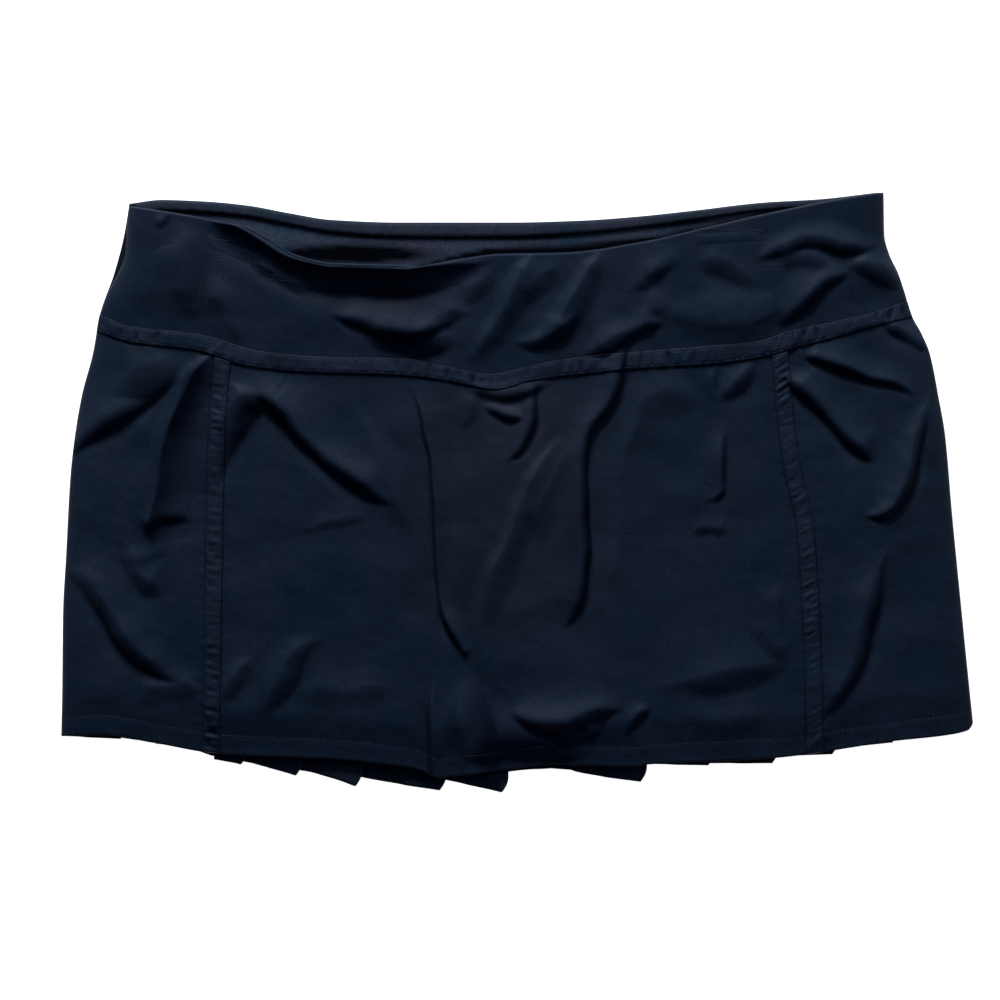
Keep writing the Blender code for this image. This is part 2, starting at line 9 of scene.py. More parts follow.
import bmesh
import bpy
import numpy as np
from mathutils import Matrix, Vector


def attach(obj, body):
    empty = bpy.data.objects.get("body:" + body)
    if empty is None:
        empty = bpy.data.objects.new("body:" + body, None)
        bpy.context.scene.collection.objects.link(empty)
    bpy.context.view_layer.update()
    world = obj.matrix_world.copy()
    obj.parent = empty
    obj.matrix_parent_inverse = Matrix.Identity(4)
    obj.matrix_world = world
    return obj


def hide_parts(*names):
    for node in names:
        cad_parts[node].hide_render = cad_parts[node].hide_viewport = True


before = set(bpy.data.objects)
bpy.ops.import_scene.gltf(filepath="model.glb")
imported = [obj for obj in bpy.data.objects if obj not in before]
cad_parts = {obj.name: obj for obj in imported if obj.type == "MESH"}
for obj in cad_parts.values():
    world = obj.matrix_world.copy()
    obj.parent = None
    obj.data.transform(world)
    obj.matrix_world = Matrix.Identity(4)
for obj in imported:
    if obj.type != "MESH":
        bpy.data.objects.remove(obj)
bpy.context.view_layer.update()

MM = 0.001

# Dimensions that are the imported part's too
SEAM_GAP = 0.3          # between two pieces that are sewn together
HALF_GAP = SEAM_GAP / 2
LAYER_PITCH = 1.5       # from one layer of the pleats to the next
TAPE_HALF = 4.5
HEM_DEPTH = 11.5
SIDE_HEIGHT = 2.4       # top of the front cloth at its side edges
SHOULDER = 24.0         # width over which it rises from there
SKIRT_HEIGHT = 10.3     # top of the smooth front cloth, and its lowest top where folds dip
SKIRT_FLOOR = 8.6
HEM_RISE = 28.0         # width over which it rises from its hem
BAND_EXTRA = 1.7        # how much higher the band lies, and the width of that rise
BAND_RISE = 26.0

# The thinner cloth that is laid on that form
CLOTH = 0.7             # thickness of a layer of cloth
TRIM = 0.6              # thickness of tapes, casing and facing
CLEAR_SIDE = 1.75       # lowest top of the front cloth, at the sides and over the pleats
CLEAR_BACK = 5.0
CLEAR_RISE = 16.0
TAPE_HOLD = 0.4         # share of the folds' height that a tape takes away
PRINCESS_HOLD = 0.3
HOLD_REACH = 7.0
FACING_PROUD = 2.3      # how far the facing rises between two x, where the lip rolls out
LIP_LEFT = -168.0
LIP_RIGHT = -50.0
LIP_BLEND = 20.0
FACING_BEHIND = 0.4     # how far it starts below the band's edge, and in from its sides
FACING_IN = 8.0
FACING_DEEP = 9.0
FACING_UNDER = 0.9      # room between the band and the facing

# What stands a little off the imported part
HEM_LIFT = 1.2          # the front's hem stands this much higher, so that it shades less
HEM_HEIGHT = 6.6 + HEM_LIFT
HEM_FLOOR = 5.7 + HEM_LIFT
SIDE_CURL = 0.5         # how far the back band's sides rise to meet the front's
CURL_REACH = 3.0
BACK_PEEP = 3.2         # width of the back band that shows at its left end
BACK_PEEP_AT = 134.0
BACK_PEEP_LONG = 14.0

# Small forms of the front cloth
FLOOR_SOFT = 1.0        # how softly a dip meets the lowest top
SIDE_ROLL = 1.2         # radii of the rolled edges
HEM_ROLL = 0.9
BAND_ROLL = 1.5
EDGE_CALM = 6.0         # width at the sides over which the gathers die out
HEM_STEP = 0.3          # how much thicker the turned hem is
HEM_GROOVE = 0.28       # depth of the groove that the hem's stitches pull
SHADE_OUT = 0.4         # how far beside a tape its painted shade line lies, and the line's half width
SHADE_HALF = 0.7
TAPE_SHADE = 0.5        # how dark that painted shade line is, and the one above the hem's stitches
HEM_SHADE = 0.35
EDGE_SHADE_HALF = 0.9   # half width of the shade painted at the hem's own edge
GROOVE_BELOW = 0.6      # how far below the turned hem's edge its stitches lie
TAPE_ABOVE_HEM = 0.3    # how far short of the hem the princess tapes end, and how far under the waist tape
TAPE_UNDER = 0.5

# Fineness of the grids
PITCH = 1.29            # centre panel and band
SIDE_PITCH = 1.0        # side panels
FINE_ENDS = 0.4         # share of the pitch near a rolled edge
FINE_ZONE = 0.5         # share of the pitch about a crisp fold
ZONE_HALF = 8.0
BACK_PITCH = 2.4
TAPE_PITCH = 0.52
FINE_SIDE = 2.0         # length at a side or a folded edge over which the faces are short
FINE_HEM = 2.4
PANEL_LONG = 238.0      # lengths and widths of the pieces, for the count of their rows and columns
LEFT_WIDE = 84.0
CENTRE_WIDE = 330.0
RIGHT_WIDE = 90.0
BAND_WIDE = 450.0
BAND_DEEP = 70.0
BACK_WIDE = 440.0
CASING_WIDE = 430.0
PRINCESS_LONG = 232.0
WELT_WIDE = 38.0
LONG_FACES = 1.15       # how much longer than wide a panel's faces are
CRISP_ZONES = (124, 209)    # places of the middle's two crisp folds, from the centre panel's left
EDGE_ROWS = 4           # rows in each margin of a tape
TAPE_MARGINS = (0.14, 0.2)      # a margin's width and where the rows between begin, in half tapes
CASING_MARGINS = (0.2, 0.32)
SHORTS_COLUMNS = 20
SHORTS_TURN = 8

# Camera
FRAME_WIDTH = 570.0     # width of the view at the cloth
VIEW_X = -9.7
VIEW_Y = -4.3
VIEW_Z = 3.5            # height at which that width is measured
LENS = 100.0
SENSOR = 36.0

Fold = namedtuple("Fold", "name rise wall run pinch starts ends path")
Swell = namedtuple("Swell", "x y wide long rise")
Pleat = namedtuple("Pleat", "fold hem_start hem_tip bow")


def curve(rows):
    """Smooth function through rows of (at, value) that never swings past them, level beyond its ends."""
    at, value = np.array(list(rows), float).T
    secant = np.diff(value) / np.diff(at)
    before, after = secant[:-1], secant[1:]
    same_way = before * after > 0
    inner = np.where(same_way, 2 * before * after / np.where(same_way, before + after, 1), 0)
    slope = np.concatenate([secant[:1], inner, secant[-1:]])

    def read(x):
        x = np.clip(x, at[0], at[-1])
        i = np.clip(np.searchsorted(at, x) - 1, 0, len(at) - 2)
        step = at[i + 1] - at[i]
        t = (x - at[i]) / step
        start = (1 + 2 * t) * (1 - t) ** 2 * value[i] + t * (1 - t) ** 2 * step * slope[i]
        end = t * t * (3 - 2 * t) * value[i + 1] + t * t * (t - 1) * step * slope[i + 1]
        return start + end

    return read


def smooth(t):
    """0 to 1 with level ends."""
    t = np.clip(t, 0.0, 1.0)
    return t * t * (3 - 2 * t)


def bump(t):
    """1 at nought, falling to nothing on both sides."""
    return np.exp(-(t * t))


# Side edges and princess seams: x for each y
left_side = curve([
    (-139, -260.1), (-115, -259.6), (-69, -259.1), (-35, -257.3), (10, -254.8), (33, -252.2),
    (56, -248.2), (79, -242.1), (102, -237.9), (125, -229.9), (147, -224.2), (166, -221.1),
])
right_side = curve([
    (-131, 260.2), (-104, 257.4), (-58, 252.8), (-12, 248.3), (33, 244.3), (56, 240.3),
    (79, 235.7), (90, 231.2), (102, 224.8), (113, 221.6), (125, 217.6), (136, 212.4), (147, 209.6),
    (170, 209.2),
])
left_princess = curve([
    (-146, -173.8), (-85, -172.7), (7, -171.0), (44, -169.9), (75, -167.0), (120, -158.0),
    (165, -150.0),
])
right_princess = curve([
    (-149, 169.3), (-85, 167.6), (-21, 163.6), (13, 156.2), (50, 151.6), (77, 149.3), (120, 145.0),
    (170, 141.0),
])

# Lines across the garment: y for each x
back_top = curve([
    (-221, 164.9), (-203, 167.1), (-178, 166.2), (-154, 163.9), (-130, 159.5), (-106, 155.7),
    (-67, 154.2), (-3, 154.2), (37, 155.3), (69, 157.6), (101, 161.0), (141, 165.6), (173, 167.5),
    (205, 171.2),
])
casing_width = curve([
    (-215, 6.4), (-126, 7.0), (-79, 8.3), (-32, 8.9), (45, 7.4), (99, 5.8), (154, 4.4), (200, 3.6),
])
front_top = curve([
    (-221, 163.0), (-206, 160.5), (-175, 155.3), (-160, 151.7), (-143, 143.4), (-126, 133.0),
    (-105, 128.0), (-66, 126.8), (-32, 132.5), (-10, 135.4), (27, 136.2), (72, 142.5), (101, 149.0),
    (141, 158.2), (183, 166.7), (209, 170.9),
])
tape_top = curve([
    (-238, 101.6), (-220, 94.3), (-181, 89.8), (-143, 79.8), (-105, 76.8), (-66, 76.2), (-41, 71.6),
    (-15, 67.1), (6, 71.6), (27, 75.6), (67, 79.8), (114, 83.5), (136, 85.5), (154, 91.6), (181, 97.2),
    (200, 101.6), (221, 108.6),
])
tape_bottom = curve([
    (-238, 91.6), (-220, 85.3), (-181, 80.4), (-153, 71.6), (-124, 68.5), (-66, 66.4), (-41, 63.4),
    (-12, 58.5), (8, 63.4), (27, 65.8), (70, 70.2), (114, 73.0), (145, 78.0), (157, 81.6), (181, 88.1),
    (199, 93.4), (223, 99.8),
])
back_seam = curve([(-239, 96.6), (-120, 88.0), (-6, 84.1), (110, 91.0), (223, 104.0)])
front_hem = curve([
    (-260.1, -138.9), (-234, -137.9), (-209, -141.9), (-172, -148.4), (-143, -150.2), (-105, -151.9),
    (-59, -157.0), (-44, -162.2), (-34, -161.0), (-3, -157.6), (19, -154.8), (67, -156.3), (74, -154.8),
    (136, -151.9), (167, -148.8), (185, -145.9), (213, -141.6), (245, -138.0), (257, -135.4),
    (260.2, -131.4),
])


def front_seam(x):
    """The waist seam, under the middle of its tape."""
    return (tape_top(x) + tape_bottom(x)) / 2


# Folds of the front. Each has a steep wall under its path, which climbs to the left of it, and a gentle side
# that falls away beyond the wall's top. rise: height of the crest. wall and run: widths of those two sides.
# pinch: how crisp the foot of the wall is, and how dark the shade painted there; below nought it is the crest
# that is crisp, with the painted shade below it.
# starts and ends: share of the path over which it fades.
FOLDS = [Fold(*row) for row in [
    # left side panel
    ("left_ridge", 6.2, 22, 9, -0.95, 0.1, 0.22,
     [(-204, -30), (-199, -14), (-195, 2), (-191, 18), (-188, 32), (-183, 46), (-177, 60), (-168, 76),
      (-162, 86)]),
    ("left_ridge_top", 2.0, 14, 9, -0.8, 0.35, 0.35, [(-193, 30), (-188, 48), (-182, 62), (-173, 76)]),
    ("left_hook", 1.8, 6, 26, 1.0, 0.35, 0.3,
     [(-214, -30), (-209, -21), (-201, -15), (-192, -14), (-182, -19)]),
    ("left_crescent", 2.2, 10, 26, 0.4, 0.3, 0.3, [(-223, -28), (-218, -45), (-211, -54), (-200, -59)]),
    ("left_crease", 3.8, 8, 34, 0.9, 0.05, 0.5,
     [(-256, 22), (-245, 31), (-232, 38), (-220, 45), (-208, 53), (-196, 62), (-186, 68)]),
    ("left_crease_soft", 2.6, 18, 26, 0.9, 0.4, 0.3, [(-232, 55), (-214, 61), (-202, 67), (-188, 77)]),
    ("left_long", 5.0, 9, 30, 0.7, 0.2, 0.25,
     [(-260, -44), (-250, -48), (-238, -62), (-226, -82), (-215, -94), (-204, -102), (-188, -107)]),
    ("left_low_veil", 1.9, 14, 14, 0.1, 0.3, 0.3, [(-216, -121), (-198, -114), (-178, -114)]),
    # centre panel, left of its middle
    ("left_diagonal", 5.6, 7.5, 30, 0.85, 0.22, 0.25,
     [(-152, 57), (-145, 54), (-136, 46), (-126, 34), (-115, 22), (-103, 13), (-90, 4), (-78, -4),
      (-69, -9)]),
    ("left_arm", 3.8, 16, 18, 1.0, 0.4, 0.12, [(-175, -4), (-169, 18), (-161, 36), (-152, 50), (-146, 57)]),
    ("left_apex", 2.2, 13, 16, 0.8, 0.35, 0.35, [(-160, 38), (-152, 51), (-143, 51), (-132, 40)]),
    ("left_second", 2.2, 12, 18, 0.1, 0.3, 0.35, [(-55, -28), (-63, -8), (-69, 14), (-80, 34), (-93, 54)]),
    ("left_faint", 1.0, 6, 14, 0, 0.35, 0.35, [(-128, -24), (-104, -19), (-78, -12)]),
    ("low_left_a", 3.0, 12, 12, 0.5, 0.25, 0.35,
     [(-145, -127), (-136, -116), (-129, -105), (-125, -94), (-118, -88), (-109, -83)]),
    ("low_left_b", 2.3, 10, 10, 0.15, 0.3, 0.3, [(-168, -121), (-158, -108), (-148, -92)]),
    ("low_left_flat", 2.0, 16, 22, 0.05, 0.35, 0.35, [(-130, -115), (-97, -118), (-66, -112)]),
    # middle
    ("centre_left_wall", 2.1, 2.4, 20, 1.4, 0.2, 0.1,
     [(-65, 66), (-60, 58), (-56, 49), (-53, 36), (-50, 20), (-48, 4), (-47, -14), (-46.5, -32),
      (-45.5, -50), (-43.5, -64), (-39, -77), (-29, -94)]),
    ("centre_right_wall", 5.2, 6.6, 20, 1.0, 0.12, 0.1,
     [(24, -77), (30, -73), (35, -64), (38, -50), (39, -30), (38, -10), (37.5, 10), (39, 28), (43, 38),
      (51, 46), (56, 56), (59, 72), (62, 90)]),
    ("centre_right_outer", 2.0, 10, 24, 0, 0.3, 0.3, [(66, 80), (67, 52), (56, 20), (55, -20), (50, -60)]),
    ("centre_left_tail", 2.2, 4.2, 9, 1.3, 0.35, 0.12, [(-43.5, -58), (-41, -72), (-36, -82), (-29, -94)]),
    ("centre_streak", 3.7, 18, 6.6, 0, 0.35, 0.3,
     [(-17, -84), (-12, -62), (-4, -40), (4, -20), (12, -2), (20, 16), (30, 34)]),
    ("centre_streak_fan", 2.0, 12, 12, 0, 0.3, 0.3, [(14, -34), (18, -12), (26, 8), (34, 30)]),
    ("centre_left_streak", 1.8, 12, 9, 0, 0.3, 0.3, [(-32, -78), (-27, -40), (-27, 0), (-34, 36)]),
    ("under_tape_curl", 3.6, 5, 14, 0.9, 0.3, 0.1, [(-7, 17), (1, 22), (6, 32), (9, 44), (9, 62)]),
    ("under_tape_nick", 2.6, 4.5, 10, 0.9, 0.3, 0.3, [(-20, 49), (-12, 45), (-3, 42), (5, 42)]),
    ("under_tape_bend", 2.6, 7, 7, 0.9, 0.3, 0.3, [(-34, 64), (-20, 57), (-8, 54), (6, 58), (22, 63)]),
    ("under_tape_left", 1.6, 8, 12, 0, 0.3, 0.1, [(-30, 34), (-24, 46), (-18, 62)]),
    # centre panel, right of the middle
    ("right_mid", 2.6, 4, 16, 0.8, 0.25, 0.35,
     [(105, -6), (112, -4), (117, 1), (116.5, 12), (117, 25), (120, 42)]),
    ("right_mid_low", 1.5, 6, 10, 0.3, 0.3, 0.3, [(99, -23), (110, -21.5), (121, -24)]),
    ("right_tape_small", 2.6, 8, 11, 0.5, 0.25, 0.3, [(113, 52), (119, 55), (128, 62), (136, 76)]),
    ("right_tape_line", 1.3, 4, 9, 0.4, 0.3, 0.3, [(114, 50), (112, 60), (113, 72)]),
    ("right_tape_veil", 1.8, 17, 18, 0.1, 0.4, 0.4, [(62, 42), (84, 50), (106, 49)]),
    ("right_dip", 3.4, 15, 30, 0.1, 0.4, 0.2,
     [(76, -112), (100, -111), (124, -107), (142, -102), (154, -98)]),
    ("right_dip_edge", 1.4, 9, 16, 0.4, 0.35, 0.3, [(130, -73), (140, -84), (148, -92), (155, -97)]),
    ("right_upright", 1.2, 6, 14, 0.3, 0.35, 0.3, [(150, -90), (149.5, -70), (148, -50)]),
    # right side panel
    ("right_upper", 3.8, 5, 16, 0.95, 0.12, 0.3,
     [(161, 78), (172, 75), (184, 70), (198, 65), (211, 62), (228, 54)]),
    ("right_crease", 4.4, 6.5, 20, 0.95, 0.2, 0.2,
     [(150, 69), (158, 60), (168, 50), (179, 39), (189, 28), (203, 16)]),
    ("right_hook", 4.8, 6, 16, 1.0, 0.15, 0.3,
     [(196, -13), (204, -14.5), (212, -11), (218, -3), (223, 8), (226.5, 22), (230, 39), (236, 56)]),
    ("right_edge_veil", 1.8, 14, 10, 0.1, 0.3, 0.3, [(240, 12), (240, 38), (236, 62)]),
    ("right_low", 4.4, 9, 24, 0.75, 0.2, 0.3,
     [(170, -129), (178, -122), (188, -108), (195, -93), (199, -76), (204, -54), (210, -30)]),
    ("right_corner", 3.0, 7, 9, 0.7, 0.3, 0.2, [(206, 97), (220, 89), (236, 81)]),
    # hem
    ("hem_swell", 5.2, 8, 26, 0.9, 0.25, 0.2,
     [(-7, -123), (2, -128), (12, -132), (22, -133), (34, -130), (44, -126), (60, -123)]),
    ("hem_swell_low", 3.2, 9, 9, 0.7, 0.3, 0.3, [(20, -141), (36, -139), (50, -130)]),
    ("hem_fall", 3.0, 14, 30, 1.3, 0.25, 0.35, [(-34, -149), (-10, -148), (16, -147), (48, -149)]),
    ("hem_hollow", 1.6, 18, 24, 1.1, 0.35, 0.35, [(-34, -139), (-8, -138), (20, -137), (48, -134)]),
    ("hem_wedge", 2.6, 6, 8, 0.6, 0.35, 0.3, [(61, -139), (67, -130), (77, -121)]),
    ("hem_ridge", 3.0, 4.5, 12, 1.4, 0.3, 0, [(-46, -100), (-50, -122), (-49, -148), (-44, -190)]),
    ("hem_ridge_fall", 5.8, 22, 12, 1.0, 0, 0.4, [(-15, -190), (-19, -150), (-23, -128), (-29, -94)]),
    ("hem_right_veil", 1.2, 16, 20, 0, 0.4, 0.4, [(90, -128), (120, -136), (150, -126)]),
    ("hem_flare", 1.6, 6, 10, 0.3, 0.3, 0.1, [(176, -128), (170, -138), (160, -148)]),
    # waistband
    ("lip", 7.4, 13, 40, -1.0, 0.12, 0.25,
     [(-178, 153), (-162, 146), (-148, 138), (-134, 129), (-120, 124), (-96, 121), (-70, 120), (-50, 122),
      (-30, 126), (-8, 130)]),
    ("lip_foot", 1.8, 7, 34, 1.0, 0.35, 0.3,
     [(-134, 121), (-118, 117), (-96, 115), (-70, 114), (-48, 116), (-30, 120)]),
    ("lip_streak_a", 1.4, 5, 9, 0.4, 0.3, 0.3, [(-152, 131), (-136, 121), (-118, 112)]),
    ("band_swell", 3.6, 7, 22, 0.85, 0.2, 0.4,
     [(-108, 101), (-99, 99), (-90, 96), (-81, 92), (-70, 90), (-58, 89), (-47, 92), (-38, 97),
      (-30, 101)]),
    ("band_swell_foot", 2.2, 14, 20, 1.3, 0.3, 0.3, [(-90, 90), (-72, 85), (-52, 83), (-32, 86)]),
    ("band_right_wing", 1.6, 8, 12, 0.2, 0.3, 0.3, [(-58, 84), (-46, 95), (-34, 101), (-24, 100)]),
    ("band_ridge_left", 4.0, 15, 8, 0, 0.3, 0.2, [(-26, 72), (-10, 90), (3, 110), (12, 138)]),
    ("band_ridge_right", 4.0, 14, 8, 0.1, 0.25, 0.2, [(8, 84), (22, 90), (32, 100), (40, 114), (50, 138)]),
    ("band_ridge_foot", 3.0, 8, 12, 0.6, 0.3, 0.35, [(-2, 85), (10, 83), (20, 86), (29, 94), (35, 104)]),
    ("band_streak", 3.8, 8, 14, 0.95, 0.3, 0.22, [(36, 77), (50, 81), (62, 88), (74, 94), (84, 96)]),
    ("band_blob", 1.6, 8, 12, 0.3, 0.35, 0.3, [(62, 112), (74, 119), (88, 130)]),
    ("band_smudge", 1.6, 11, 12, 0.5, 0.35, 0.35, [(98, 129), (112, 128), (126, 122), (138, 114)]),
    ("band_wave", 3.0, 8, 12, 0.95, 0.25, 0.3,
     [(133, 132), (142, 134), (152, 138), (164, 142), (174, 141), (184, 138), (194, 138), (210, 143)]),
    ("band_wave_low", 2.0, 10, 10, 0.3, 0.3, 0.3, [(146, 129), (160, 132), (178, 128)]),
    ("band_slant", 3.4, 7, 16, 0.8, 0.2, 0.25, [(148, 93), (158, 101), (168, 111), (176, 119), (190, 125)]),
    ("band_edge", 3.2, 12, 10, 0.7, 0.3, 0.1, [(188, 130), (202, 125), (219, 118)]),
    ("band_left_swell", 3.2, 19, 15, 0.3, 0.35, 0.3, [(-184, 96), (-183, 118), (-184, 138), (-190, 156)]),
    ("band_left_rise", 2.2, 14, 22, 0, 0.35, 0.35, [(-150, 84), (-158, 98), (-164, 112), (-176, 128)]),
    ("band_pucker", 1.2, 4, 5, 0.3, 0.3, 0.3, [(-205, 149), (-200, 153), (-194, 159)]),
    ("band_light", 1.8, 10, 12, 0, 0.35, 0.35, [(86, 98), (82, 108), (76, 118)]),
    ("band_light_right", 3.2, 24, 28, 0, 0.35, 0.35, [(158, 110), (130, 107), (108, 106), (80, 104)]),
    ("band_top_a", 1.3, 9, 12, 0.4, 0.3, 0.3, [(-30, 104), (-19, 117), (-11, 130)]),
    ("band_top_b", 1.3, 10, 12, 0.35, 0.3, 0.3, [(4, 106), (14, 118), (25, 130)]),
    ("band_top_c", 1.0, 10, 14, 0.3, 0.3, 0.3, [(70, 120), (82, 127), (96, 134)]),
]]

# Soft mounds of the front. x, y: the middle. wide, long: half widths across and down.
SWELLS = [
    Swell(-4, 0, 36, 72, 2.2),
    Swell(-206, 150, 28, 36, 1.6),
    Swell(200, -14, 28, 36, 2.4),
    Swell(-215, -10, 26, 40, 0.8),
    Swell(20, -100, 26, 16, 1.2),
]
PATH_PITCH = 4.0        # spacing of the points that a fold's path is read at
CROSSING_STEPS = 12     # repeats that bring two crossing lines to their common point
NARROW_WALL = 0.3       # share of a wall's width that is left at its fold's ends, and of its run's
NARROW_RUN = 0.4
CRISP = 2.8             # how sharply a pinched foot or crest turns
FOOT = 0.07             # depth of the trough at a wall's foot, as a share of its rise
PINCHED_FOOT = 0.2      # added to that where the foot is pinched
CREST = 0.1             # height of the bead on a pinched fold's crest
FOOT_AT = 0.7           # places of the trough and the bead, and their half width, in wall widths
CREST_AT = 0.8
BEAD_HALF = 0.5
LINE_AT = 0.36          # place of the shade painted along a crease, and its outer and inner half widths, in wall widths
LINE_OUTER = 0.17
LINE_INNER = 0.6
LINE_HALF = 0.7         # least half width of the painted crease shade
CREST_LINE = 0.9        # how dark the shade painted below a crisp crest is, beside a crisp foot's
UNEVEN = 0.16           # how much a fold's height varies along it; its name's length sets the phase
UNEVEN_WAVES = 9.0

# Low undulations, in a few random waves between two lengths
Ripple = namedtuple("Ripple", "seed longest shortest height waves", defaults=(9,))
WANDER_X = Ripple(14, 40, 14, 0.5)      # how far the folds' lines wander from their smooth paths
WANDER_Y = Ripple(15, 40, 14, 0.5)
SLACK = Ripple(3, 70, 24, 0.5)          # of the front cloth
CRUMPLE = Ripple(8, 20, 7, 0.12)
BACK_RIPPLE = Ripple(21, 60, 20, 0.6)
PLEAT_RIPPLE = Ripple(5, 40, 14, 0.12)
SHORTS_RIPPLE = Ripple(31, 50, 18, 0.1)
RIPPLE_BEND = 1.6                       # how much a wave's front bends, and how often
BEND_RATE = 1.7

# Small gathers beside a seam. reach: how far they run into the cloth. lean, bend and bend_pitch: how they
# slant and wander.
Gather = namedtuple("Gather", "height reach pitch lean bend bend_pitch")
WAIST_GATHER = Gather(0.16, 9, 1.9, 0.18, 1.4, 13)
PRINCESS_GATHER = Gather(0.13, 7.5, 0.95, 0.2, 1.2, 11)
HEM_GATHER = Gather(0.1, 7, 1.5, 0, 1.7, 17)

# The back's knife pleats. fold: x of the folded edge at the hem. hem_start and hem_tip: y of the hem where
# that pleat's cloth comes out from under its neighbour, and at its own folded edge. bow: how late it drops.
PLEATS = [
    Pleat(-227.4, -139.0, -140.4, 1.0),
    Pleat(-192.1, -139.9, -144.9, 1.0),
    Pleat(-158.6, -144.4, -154.9, 1.0),
    Pleat(-127.3, -153.4, -161.2, 1.3),
    Pleat(-93.3, -158.4, -167.3, 1.5),
    Pleat(-45.3, -161.3, -169.7, 0.8),
    Pleat(-9.8, -163.4, -170.8, 1.1),
    Pleat(30.8, -161.0, -156.6, 0.5),
    Pleat(69.2, -158.4, -164.8, 0.7),
    Pleat(107.7, -155.0, -155.5, 1.0),
    Pleat(144.2, -154.7, -154.3, 1.0),
    Pleat(178.4, -150.6, -149.2, 1.0),
    Pleat(212.6, -146.4, -142.6, 1.0),
]
PLEAT_DEPTH = 14.0
PLEAT_RAMP = 7.0        # width over which a face climbs onto its neighbour
PLEAT_CLEAR = 3.0
PLEAT_SHORT = 1.0       # how much shorter the hidden layers are
BACK_HEM_LEFT = -138.6
BACK_HEM_RIGHT = -131.4
FOLD_STEPS = 6
PLEAT_LEAN = 3.6        # how far each pleat's corner swings in at the hem
PLEAT_SWING = 1.0       # how far the corner itself stands past the fold
LEAN_REACH = 8.5
FACE_LEVEL = 2.0        # a pleat's face lies this many layers up where it covers its neighbour
TUCK_SHADE = 0.9        # painted shade of the hidden layers, and how far it reaches onto the next face
TUCK_SHADE_REACH = 5.0
HEM_SHADOW = 3.5        # width of the shadow painted on the pleats under the front's hem

shorts_left_outer = curve([(-120, -212), (-20, -214), (92, -209)])
shorts_right_outer = curve([(-120, 212), (-20, 211), (100, 197)])
inseam = curve([(-120, 17), (-85, 9), (-72, 2), (-62, HALF_GAP), (90, HALF_GAP)])
SHORTS_CENTRE = -4.0
SHORTS_HEM = -119.0
SHORTS_DROP = 1.0
SHORTS_MIDDLES = (5.05, 6.55)   # heights of the back and front layers
SHORTS_CLOTH = 0.8 * CLOTH


def shifted(line, distance):
    """The same line moved sideways or up by a distance."""
    return lambda at: line(at) + distance


def front_left(y):
    """Left edge of the front cloth, which leaves a strip of the back band showing beside it."""
    return left_side(y) + BACK_PEEP * bump((y - BACK_PEEP_AT) / BACK_PEEP_LONG)


def sample_path(path):
    """Evenly spaced points on a smooth line through the path's own points."""
    points = np.array(path, float)
    run = np.concatenate([[0], np.cumsum(np.hypot(*np.diff(points, axis=0).T))])
    steps = np.linspace(0, run[-1], int(run[-1] / PATH_PITCH) + 3)
    return np.stack([curve(zip(run, points[:, 0]))(steps), curve(zip(run, points[:, 1]))(steps)], axis=1)


def add_fold(fold, x, y, height, crease):
    """Adds one fold to the heights at the points x, y, and the shade painted along its pinched foot or below
    its crisp crest.
    """
    line = sample_path(fold.path)
    reach = fold.run + fold.wall * 2
    low = line.min(0) - reach
    high = line.max(0) + reach
    near = (x > low[0]) & (x < high[0]) & (y > low[1]) & (y < high[1])
    px, py = x[near], y[near]
    nearest = np.full(px.shape, np.inf)
    side = np.zeros(px.shape)
    along = np.zeros(px.shape)
    for i, (start, end) in enumerate(zip(line[:-1], line[1:])):
        step = end - start
        t = np.clip(((px - start[0]) * step[0] + (py - start[1]) * step[1]) / (step @ step), 0, 1)
        away_x = px - start[0] - t * step[0]
        away_y = py - start[1] - t * step[1]
        away = np.hypot(away_x, away_y)
        closer = away < nearest
        nearest = np.where(closer, away, nearest)
        side = np.where(closer, np.sign(step[0] * away_y - step[1] * away_x), side)
        along = np.where(closer, (i + t) / (len(line) - 1), along)
    begins = smooth(along / max(fold.starts, 0.001))
    stops = smooth((1 - along) / max(fold.ends, 0.001))
    fade = begins * stops * (1 - UNEVEN + UNEVEN * np.sin(UNEVEN_WAVES * along + len(fold.name)))
    wall = fold.wall * (NARROW_WALL + (1 - NARROW_WALL) * fade)
    run = fold.run * (NARROW_RUN + (1 - NARROW_RUN) * fade)
    d = nearest * side
    t = np.clip((d + wall / 2) / wall, 0, 1)
    fall = (1 - np.clip((d - wall / 2) / run, 0, 1)) ** 2
    pinch = abs(fold.pinch)
    foot = (FOOT + PINCHED_FOOT * pinch) * bump((d + wall * FOOT_AT) / (wall * BEAD_HALF))
    crest = CREST * pinch * bump((d - wall * CREST_AT) / (wall * BEAD_HALF))
    height[near] += fold.rise * fade * (wall_climb(t, fold.pinch) * fall - foot + crest)
    # Painted shade: darkens the colour along a crisp foot, or below a crisp crest
    crisp_foot = fold.pinch > 0
    inward = (d if crisp_foot else -d) + wall * LINE_AT
    outer = np.maximum(wall * LINE_OUTER, LINE_HALF)
    inner = np.maximum(wall * LINE_INNER, LINE_HALF)
    dark = pinch * (1 if crisp_foot else CREST_LINE)
    crease[near] += dark * fade * bump(inward / np.where(inward < 0, outer, inner))


def wall_climb(t, pinch):
    """Climb of a fold's wall, 0 to 1: crisp at its foot, or at its crest where pinch is below nought."""
    sharp = 1 - (1 - t) ** CRISP if pinch > 0 else t ** CRISP
    share = min(abs(pinch), 1)
    return smooth(t) * (1 - share) + sharp * share


def ripple(x, y, kind):
    """Low soft undulations, the same each time for the same seed."""
    draw = np.random.default_rng(kind.seed)
    total = np.zeros(np.shape(x))
    for _ in range(kind.waves):
        length = draw.uniform(kind.shortest, kind.longest)
        angle = draw.uniform(0, math.pi)
        phase, bend_phase = draw.uniform(0, 2 * math.pi, 2)
        across = x * math.cos(angle) + y * math.sin(angle)
        down = y * math.cos(angle) - x * math.sin(angle)
        bend = RIPPLE_BEND * np.sin(down / length * BEND_RATE + bend_phase)
        total += length / kind.longest * np.sin(2 * math.pi * across / length + phase + bend)
    return total * kind.height / math.sqrt(kind.waves)


